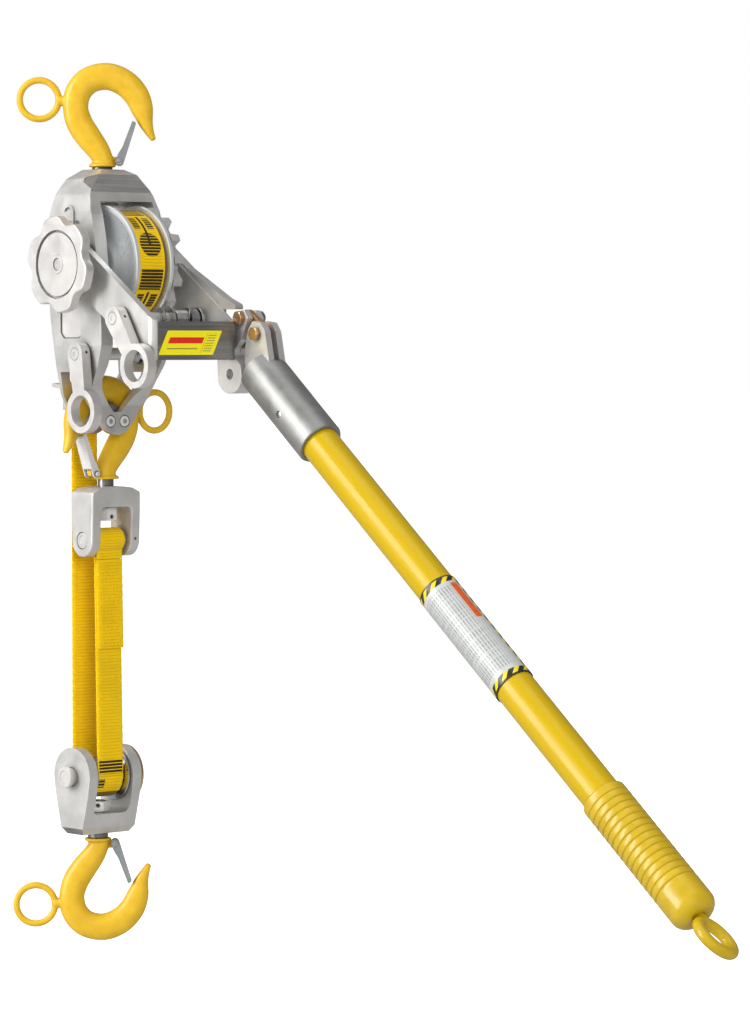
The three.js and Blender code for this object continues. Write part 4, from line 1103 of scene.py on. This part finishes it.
def lever_frame():
    """Two arms from the axle to a crossbar, and a rail on the far arm that carries the handle's bracket."""
    left, right = BAR_ENDS
    bar = rounded([(left, BAR_BOTTOM), (left, BAR_TOP), (right, BAR_TOP), (right, BAR_BOTTOM)], 1.2)
    rail = rounded([
        (-98, -202, 0), (-98, -183.8, 0), (-124, -183.8, 0.6), (-124, -180, 2.5), (-110, -174.5, 12),
        (-61.6, -149.5, 16), *sharp(arc(*AXLE, 20.5, 118, 60, 10)), (-14, -152, 4), (-60, -163, 14),
    ], 2, 6)
    whole = join(
        lever_arm(left, -38.6),
        lever_arm(38.6, 44.4),
        prism("x", rail, 41.6, 50),
        rod("x", AXLE, 20.5, 38.6, 50, 72),
        prism("y", bar, BAR_FRONT, BAR_BACK),
    )
    cut(
        whole,
        box(40.8, 60, -140, -109, -240, -184),
        box(44.7, 60, -140, -98, -240, -184),
        rod("x", AXLE, SHAFT_R + GAP, -60, 60),
        rod("x", DRIVE, 5.5, -60, 60),
        rod("x", AXLE, 14, 47.4, 60, 64),
    )
    corner = 7
    turn_at = (left + corner, BAR_FRONT + corner)
    outside = box(left - 15, turn_at[0], BAR_FRONT - 5, turn_at[1], BAR_BOTTOM - 8, BAR_TOP + 8)
    cut(whole, cut(outside, rod("z", turn_at, corner, BAR_BOTTOM - 9, BAR_TOP + 9, 96)))
    return round_edges(whole, 1.0, 3, None, 32)


def pawl(shaft, nose_angle):
    """A pawl from its hub to a blunt nose just clear of the ratchet's tips."""
    reach = 51.2
    outward = polar(AXLE, reach + 3, nose_angle)
    body = prism("x", link_outline(shaft, 9, outward, 2.4), 20.8, 29.2)
    join(body, rod("x", polar(AXLE, reach, nose_angle), 1.4, 20.8, 29.2, 16))
    cut(body, rod("x", AXLE, 50.6, 19, 31, 120), rod("x", shaft, 5.5, 0, 50))
    return round_edges(body, 0.45, 2)


def release_ring(shaft, towards, x0, x1):
    """A cast finger ring on an arm, with a hub and a hole for a set screw in the hub's rim."""
    heading = Vector(towards) - Vector(shaft)
    middle = Vector(shaft) + heading.normalized() * 48
    arm = prism("x", link_outline(shaft, 9.6, middle, 6.6, 28), x0, x1)
    join(arm, rod("x", middle, 18.3, x0, x1, 96))
    cut(arm, rod("x", middle, 13, x0 - 1, x1 + 1, 96), rod("x", shaft, 5.5, x0 - 1, x1 + 1))
    cut(arm, rod("y", ((x0 + x1) / 2 + 0.6, shaft[1] + 1.5), 1.25, shaft[0] - 12, shaft[0] - 6, 20))
    return round_edges(arm, 0.9, 3, None, 40)


def torsion_spring(shaft, x0, x1):
    """A close-wound spring with its two legs."""
    radius = 6.9
    coil = helix("x", shaft, radius, x0 + 1, x1 - 1, 6.5, 28)
    start, end = Vector(coil[0]), Vector(coil[-1])
    lead = [start + Vector((-0.2, 0.2, 9)), start + Vector((0, 0.1, 4))]
    tail = [end + Vector((0, -0.4, 4)), end + Vector((0.2, -1, 9))]
    return bar_along([*lead, *coil, *tail], 1.02, 12)


def lever_pieces():
    made = piece("lever_frame_casting", lever_frame(), CAST, "lever", "lever_frame")
    # The crossbar's front face takes the darker brushed aluminium: painted shade over a real brushed finish.
    repaint(made, BAR_FACE_SHADE, lambda normal, m: normal.y < -0.95 and m.y < BAR_FRONT + 1 and m.z < BAR_TOP + 4)
    slanted = rounded([(-40, -221.4), (-30, -201.5), (27, -201.5), (17, -221.4)], 0.8)
    film = prism("y", slanted, BAR_FRONT - 0.6, BAR_FRONT - 0.2)
    piece("lever_sticker", film, STICKER, "lever", "lever_label")
    for name, shaft, spring_body, nose, towards in (
        ("drive", DRIVE, "lever", 236, (-112.4, -230)),
        ("hold", HOLD, "frame", 288, (-29.4, -268.4)),
    ):
        body = f"{name}_pawl"
        shaft_piece(f"{name}_shaft", shaft, 5.2, PALE, body, f"{name}_pawl_shaft", 0.3)
        piece(f"{name}_spring", torsion_spring(shaft, 6, 20), ZINC, spring_body, f"{name}_pawl_spring")
        piece(f"{name}_pawl_casting", pawl(shaft, nose), STEEL, body, f"{name}_pawl")
        ring = release_ring(shaft, towards, *span(f"{name}_release_ring", "x"))
        piece(f"{name}_ring_casting", ring, PALE, body, f"{name}_release_ring")
    for name, low, outer in (("left", -8, 9.4), ("middle", 1.4, 10.4), ("right", 31.5, 9.4)):
        washer = chamfered_ring("x", DRIVE, 5.4, outer, low, low + 1.6, 0.2, 56)
        piece(f"drive_washer_{name}", washer, ZINC, "drive_pawl")


# ---------------------------------------------------------------- handle and its link


# The bracket and the socket's ears in x, and the slot in both for the link plates.
LINK = (45.2, 62.8)
SLOT = (51.3, 56.7)
TUBE_R = 15.875
TUBE_END = 628


def handle_bracket():
    hip = [
        (-119.4, -216, 2), (-117.6, -222, 2), (-126, -230, 2), (-128.6, -246, 0),
        *sharp(arc(*BRACKET_PIN, 16, 207, 340, 20)), (-96, -226, 4), (-110.6, -205, 2),
    ]
    arm = [(-119.6, -185.6, 1), (-131, -184.6, 1), (-135.6, -191, 1), (-127, -209, 2), *hip]
    whole = join(
        prism("x", rounded(arm, 1, 3), LINK[0], SLOT[0]),
        prism("x", rounded(arm, 1, 3), SLOT[1], LINK[1]),
        prism("x", rounded(hip, 1, 3), *LINK),
    )
    cut(whole, rod("x", BOLT_REAR, 3.5, 30, 80), rod("x", BRACKET_PIN, 4.3, 30, 80))
    return round_edges(whole, 0.7, 2, None, 34)


def handle_socket():
    """The socket's ears and barrel are one casting; the ears are slotted for the link plates."""
    ear = rounded([
        (-137, -199, 1), (-142, -193.6, 2), (-152, -195, 2), (-157.4, -202, 3), (-163, -228, 3),
        (-152, -246, 3), (-134, -237, 3), (-131, -220, 3), (-133.4, -209, 3),
    ], 2, 4)
    wall = [(0.01, 0), (18.2, 0), (19.75, 1.6), (19.75, 94.6), (19, 96), (17.4, 96), (0.01, 96)]
    barrel = moved(turned("z", (0, 0), wall, 96), HANDLE)
    bore = moved(rod("z", (0, 0), 16.2, 11.7, 99, 72), HANDLE)
    rivet = moved(rod("x", (0, 58), 2.9, -30, 30, 32), HANDLE)
    whole = join(barrel, prism("x", ear, *LINK))
    cut(whole, bore, box(*SLOT, -175, -120, -226, -180), rod("x", BOLT_FRONT, 3.5, 30, 80), rivet)
    return round_edges(whole, 0.9, 3, None, 34)


def link_plate(x0, x1):
    plate = prism("x", link_outline(BOLT_REAR, 7, BOLT_FRONT, 7), x0, x1)
    cut(plate, rod("x", BOLT_REAR, 3.5, 30, 80), rod("x", BOLT_FRONT, 3.5, 30, 80))
    return round_edges(plate, 0.3, 2)


def bolt(at):
    """A round-shouldered hex bolt head with its shank and a threaded end."""
    dome = [(0.01, 41.2), (4.9, 41.2), (6, 41.9), (6, 44.9), (0.01, 44.9)]
    head = round_edges(hex_solid("x", at, 6, dome), 0.2, 2)
    thread = [(0.01, 44.6), (3.2, 44.6), (3.2, 62)]
    crest = 62.0
    while crest < 69.4:
        thread += [(3.15, crest + 0.25), (2.8, crest + 0.5), (3.15, crest + 0.8)]
        crest += 1.0
    thread += [(2.4, 70.4), (0.01, 70.4)]
    return merge(head, turned("x", at, thread, 32))


def lock_nut(at):
    nut = hex_solid("x", at, 6.4, [(0.01, 63.4), (6.4, 63.4), (6.4, 66.8), (5.4, 67.6), (0.01, 67.6)])
    join(nut, turned("x", at, [(0.01, 67), (5.1, 67), (5.1, 68.4), (4.4, 69), (0.01, 69)]))
    cut(nut, rod("x", at, 3.5, 60, 72, 32))
    return round_edges(nut, 0.2, 2)


def grip():
    """A moulded grip: a plain collar, fifteen sharp ring grooves and a rounded end."""
    start, end, radius, bore = 515, 644, 18.65, 16.2
    profile = [(bore, start), (radius - 0.8, start), (radius - 0.2, start + 0.4), (radius, start + 1.4)]
    grooves, first, pitch = 15, start + 7, 6.5
    land = ((0.0, 0.05), (0.06, 0.45), (0.11, 0.75), (0.17, 0.45), (0.24, 0.08), (0.6, -0.12), (0.92, 0.0))
    for i in range(grooves):
        profile += [(radius - depth, first + pitch * (i + share)) for share, depth in land]
    profile += arc(radius - 10, end - 10, 10, 0, 90, 12)
    profile += [(5.3, end), (5.3, TUBE_END + GAP), (bore, TUBE_END + GAP)]
    return turned("z", (0, 0), profile, 96)


def handle_eye():
    """The round eye at the handle's end, on its stem."""
    tilt = Matrix.Rotation(math.radians(-17), 4, "Z")
    eye = bar_along([tilt @ Vector((u, 0, v)) for u, v in circle(0, 665.2, 16.4, 72)], 4.6, 24, closed=True)
    stem = bar_along([(0, 0, 629), (0, 0, 640), (0, 0, 646), (0, 0, 650)], [5, 5, 5.1, 5.6], 32)
    return remeshed(merge(eye, stem), 0.6, 4)


def handle_pieces():
    body = "lever"
    piece("bracket_casting", handle_bracket(), PALE, body, "handle_bracket")
    shaft_piece("bracket_pivot_pin", BRACKET_PIN, 4, ZINC, body, "bracket_pin")
    made = piece("socket_casting", handle_socket(), PALE, body, "handle_socket")
    # The barrel past the ears takes the darker copy of its casting's aluminium: painted shade.
    repaint(made, SOCKET_SHADE, lambda normal, m: (HANDLE.inverted() @ (m * MM)).z > 0.02)
    profile = [(0.01, -19.3), (2.0, -19.3), (2.6, -18.9), (2.6, 18.9), (2, 19.3), (0.01, 19.3)]
    rivet = turned("x", (0, 58), profile, 32)
    piece("socket_cross_rivet", rivet, ZINC, body, "socket_rivet", HANDLE)
    piece("link_plate_near", link_plate(51.6, 53.85), CHROMATE, body, "link_plate_left")
    piece("link_plate_far", link_plate(54.15, 56.4), CHROMATE, body, "link_plate_right")
    for name, at in (("front", BOLT_FRONT), ("rear", BOLT_REAR)):
        piece(f"link_hex_bolt_{name}", bolt(at), CHROMATE, body, f"link_bolt_{name}")
        piece(f"link_lock_nut_{name}", lock_nut(at), STEEL, body, f"link_nut_{name}")
    wall = [(12.7, 12), (TUBE_R, 12), (TUBE_R, TUBE_END), (12.7, TUBE_END)]
    piece("fibreglass_tube", turned("z", (0, 0), wall, 96), FIBRE, body, "handle_tube", HANDLE)
    film = chamfered_ring("z", (0, 0), 16.2, 16.9, 277, 390, 0.3, 96)
    piece("label_sleeve", film, SLEEVE, body, "handle_label_sleeve", HANDLE)
    piece("ribbed_grip", grip(), VINYL, body, "handle_grip", HANDLE, 60)
    piece("handle_eye", handle_eye(), VINYL, body, "handle_end_ring", HANDLE, 60, False)


# ---------------------------------------------------------------- clevis and strap

LOOP_FOOT = -393
FALL_FOOT = -575.4
SEWN_END = -468
WRAP_MEAN = 17
BLOCK_TRAVEL = 120


def clevis():
    half, slot, depth, top, under, foot = 25.5, 16, 15, -331.8, -349.2, 14
    pin_z = CLEVIS_PIN[1]
    arch = rounded([
        (-half, -395, 0), (-half, top - 4.8, 3), (-half + 8, top - 1.2, 8), (-6, top, 10), (6, top, 10),
        (half - 8, top - 1.2, 8), (half, top - 4.8, 3), (half, -395, 0), (slot, -395, 0), (slot, under, 5),
        (-slot, under, 5), (-slot, -395, 0),
    ], 3, 6)
    cheek = [*arc(0, pin_z, foot, 180, 360, 32), (depth, -352), (depth, top), (-depth, top), (-depth, -352)]
    whole = common(prism("y", arch, -depth, depth), prism("x", cheek, -40, 40))
    round_edges(whole, 1.6, 3, None, 40)
    cut(whole, rod("z", (0, 0), 7, -360, -320), rod("x", (0, pin_z), 7.3, -40, 40),
        rod("y", (20.6, pin_z + 1), 1.2, -20, -10, 20))
    return moved(whole, Matrix.Translation((PIN_X * MM, CLEVIS_PIN[0] * MM, 0)))


def strap_loop():
    """The strap's end, turned round the clevis pin and laid flat below it."""
    y, z = CLEVIS_PIN
    inner, hang = 7.3, 6.5
    rows = []
    so_far = 0.0
    last = None
    for u, v in arc(y, z, inner, -118, 298, 208):
        here = Vector((PIN_X, u, v))
        so_far += (here - last).length * 1.35 if last else 0
        last = here
        rows.append((here, Vector((0, u - y, v - z)).normalized(), so_far))
    parts = [ribbed(rows, STRAP_HALF, STRAP_T)]
    for side in (-1, 1):
        rows = []
        for i in range(49):
            t = i / 48
            ease = t * t * (3 - 2 * t)
            u = y + side * 3.2 * (1 - ease) - STRAP_T * ease
            here = Vector((PIN_X, u, z - hang + (LOOP_FOOT - z + hang) * t))
            rows.append((here, Vector((0, side, 0)), 11.0 * t))
        parts.append(ribbed(rows, STRAP_HALF, STRAP_T - 0.1))
    return merge(*parts)


def strap_fall(top, top_at, foot_y, layers):
    """A straight length of ribbed strap; layers gives each layer's offset, and its lowest height."""
    made = []
    for offset, low in layers:
        steps = int((top - low) / RIB_PITCH * ROWS_PER_RIB)
        rows = []
        for i in range(steps + 1):
            z = top - (top - low) * i / steps
            share = (z - FALL_FOOT) / (top - FALL_FOOT)
            here = Vector((top_at[0] * share, foot_y + (top_at[1] - foot_y) * share + offset, z))
            rows.append((here, Vector((0, 1, 0)), top - z))
        made.append(ribbed(rows, STRAP_HALF, STRAP_T - 0.06))
    return merge(*made)


def stitches(top, y):
    """Columns of stitches through the sewn overlap, each sunk into the rib it crosses."""
    slope = (SHEAVE_PIN[0] - WRAP_MEAN + STRAP_T / 2 - y) / (top - FALL_FOOT)
    stitch = ((0.7, 0), (-0.1, 0.5), (-0.1, 2.2), (0.7, 2.7))
    made = []
    for column in (-9, -5.5, -2, 1.5, 5, 8.5, 11.5):
        z = top - 5
        while z > SEWN_END + 4:
            face = y - 2 * STRAP_T + slope * (top - z)
            x = PIN_X + column - 3 * (top - z) / (top - FALL_FOOT) + 0.5 * math.sin(z * 0.21 + column)
            made.append(bar_along([(x, face + out, z - down) for out, down in stitch], 0.34, 6))
            z -= 3.6
    return merge(*made)


def squashed(made, top, foot):
    """Gives a fall a mesh of its own; the share of it kept as the block comes up by its whole travel is
    worked out but not used.
    """
    keep = (top - foot - BLOCK_TRAVEL) / (top - foot)
    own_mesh(made)


def strap_pieces():
    piece("clevis_casting", clevis(), SATIN, "frame", "clevis")
    shaft_piece("clevis_cross_pin", CLEVIS_PIN, 7, PALE, "frame", "clevis_pin", 0.62)
    piece("strap_eye", strap_loop(), WEB, "frame", "strap_end_loop", sharp=60, flat=False)
    top = LOOP_FOOT - GAP
    y = CLEVIS_PIN[0]
    middle = SHEAVE_PIN[0] - STRAP_T / 2
    front = strap_fall(top, (PIN_X, y - STRAP_T), middle - WRAP_MEAN, ((0, FALL_FOOT), (-STRAP_T, SEWN_END)))
    front = merge(front, stitches(top, y))
    piece("strap_front_run", front, WEB_SHEAVE, "frame", "strap_front_fall", sharp=60, flat=False)
    squashed(front, top, FALL_FOOT)
    rear = strap_fall(AXLE[1], (0, AXLE[0] + WRAP_R + GAP), middle + WRAP_MEAN, ((0, FALL_FOOT),))
    piece("strap_rear_run", rear, WEB, "frame", "strap_rear_fall", sharp=60, flat=False)
    squashed(rear, AXLE[1], FALL_FOOT)


# ---------------------------------------------------------------- lower block


def block_cheeks():
    y, z = SHEAVE_PIN
    cheek = rounded([
        *sharp(arc(y, z, 24.5, 0, 180, 40)), (y - 22.5, -590, 10), (y - 15, -618.6, 4),
        (y - 11, -624.5, 1), (y + 11, -624.5, 1), (y + 15, -618.6, 4), (y + 22.5, -590, 10),
    ], 2, 5)
    front = [(-27.9, -540), (-27.9, -619), (-24.4, -624.5), (24.4, -624.5), (27.9, -619), (27.9, -540)]
    whole = common(prism("x", cheek, -27.9, 27.9), prism("y", front, -40, 60))
    round_edges(whole, 1.4, 3, lambda a, b, m: m.z > -617, 50)
    room = rounded([(-18.6, -607, 4), (-18.6, -500, 0), (18.6, -500, 0), (18.6, -607, 7)], 4, 6)
    cut(whole, prism("y", room, -40, 60), rod("x", (y, z), 7.8, -60, 60), rod("z", (0, y), 7, -640, -590))
    return round_edges(whole, 0.7, 2, None, 45)


def sheave():
    core, flange, half, bore = 15.2, 22, 17.6, 7.8
    side = [
        (bore, half), (flange - 0.8, half), (flange, half - 0.8), (flange - 0.4, half - 2),
        (core + 1, half - 3.2), (core, half - 4),
    ]
    profile = [(radius, -x) for radius, x in side] + side[::-1]
    return turned("x", SHEAVE_PIN, profile, 96)


def block_pieces():
    body = "lower_block"
    at = SHEAVE_PIN
    made = piece("block_casting", block_cheeks(), SATIN, body, "lower_block")
    # The downward-facing chamfers at the cheeks' foot take the darker aluminium: painted shade.
    repaint(made, CAST_SHADE, lambda normal, m: abs(normal.x) > 0.5 and normal.z < -0.4)
    piece("sheave_wheel", sheave(), ZINC, "sheave", "sheave", sharp=25)
    pin = merge(shaft_with_ends(at, 7.5, -33, 32, 0.5), shaft_with_ends(at, 9.1, -36, -32.6, 0.6))
    piece("sheave_cross_pin", pin, PALE, body, "sheave_pin")
    low, high = span("sheave_pin_ring", "x")
    collar = chamfered_ring("x", at, 7.8, 24, low, high, 0.2, 56)
    piece("sheave_retaining_ring", collar, CHROMATE, body, "sheave_pin_ring")
    wrap = ribbed_ring(at, 15.5, STRAP_HALF, STRAP_T, 180, 360)
    piece("strap_on_sheave", wrap, WEB_SHEAVE, body, "strap_sheave_wrap", sharp=60, flat=False)


# ---------------------------------------------------------------- studio


def backdrop(scene):
    """A white world that glows more from the hand-knob side, seen as plain white."""
    world = bpy.data.worlds.new("studio")
    world.use_nodes = True
    scene.world = world
    tree = world.node_tree
    seen = Field(tree, node(tree, "LightPath").outputs["Is Camera Ray"])
    split = node(tree, "SeparateXYZ", {"Vector": node(tree, "TexCoord").outputs["Generated"]})
    side = Field(tree, split.outputs[0]).math("MULTIPLY_ADD", -0.5, 0.5)
    glow = side.math("POWER", 2.0).math("MULTIPLY_ADD", 0.66, 0.22)
    background = tree.nodes["Background"]
    put(tree, background.inputs["Color"], rgb(1.0, 1.0, 1.0))
    put(tree, background.inputs["Strength"], seen | glow)


def floor():
    bpy.ops.mesh.primitive_circle_add(vertices=96, radius=60.0, fill_type="NGON", location=(0, -0.3, -0.95))
    made = bpy.context.object
    made.name = "floor"
    paper = Surface("floor_paper")
    fibre = paper.noise(500.0, 2.0, 0.5)
    seen = paper.field("Is Camera Ray", "LightPath")
    colour = paper.mix(fibre, rgb(0.50, 0.50, 0.50), rgb(0.54, 0.54, 0.54))
    made.data.materials.append(
        paper.finish(colour, 0.95, Emission_Color=rgb(1.0, 1.0, 1.0), Emission_Strength=seen))


def studio():
    """A plain pale floor, a soft key from the hand-knob side, weaker fill, and the camera."""
    scene = bpy.context.scene
    scene.view_settings.view_transform = "Standard"
    backdrop(scene)
    floor()
    middle = Vector((0.02, -0.25, -0.35))
    rows = [
        ("key", (-3.2, 0.9, 0.8), 1.2, 3.2, 116.0),
        ("front_fill", (-2.0, -4.5, 0.6), 2.0, 2.6, 118.0),
        ("top", (0.0, -0.5, 2.2), 1.4, 1.4, 8.0),
        ("back_fill", (2.8, 2.4, 0.7), 2.0, 2.6, 42.0),
    ]
    for name, place_at, width, height, power in rows:
        light_data = bpy.data.lights.new(name, "AREA")
        light_data.shape = "RECTANGLE"
        light_data.size, light_data.size_y = width, height
        light_data.energy = power
        lamp = bpy.data.objects.new(name, light_data)
        lamp.location = place_at
        lamp.rotation_mode = "QUATERNION"
        lamp.rotation_quaternion = (middle - Vector(place_at)).to_track_quat("-Z", "Y")
        lamp.visible_glossy = "fill" not in name
        scene.collection.objects.link(lamp)

    camera_data = bpy.data.cameras.new("camera")
    camera_data.lens = 150.8
    camera_data.sensor_width = 36
    camera_data.clip_end = 100
    camera = bpy.data.objects.new("camera", camera_data)
    camera.location = (-2.2147, -2.8347, -0.214)
    pitch = math.radians(-2.2)
    forward = Vector((0.6645 * math.cos(pitch), 0.7473 * math.cos(pitch), math.sin(pitch)))
    camera.rotation_mode = "QUATERNION"
    camera.rotation_quaternion = forward.to_track_quat("-Z", "Y")
    scene.collection.objects.link(camera)
    scene.camera = camera


# ---------------------------------------------------------------- whole winch

studio()
hooks()
frame_pieces()
drum_pieces()
lever_pieces()
handle_pieces()
strap_pieces()
block_pieces()
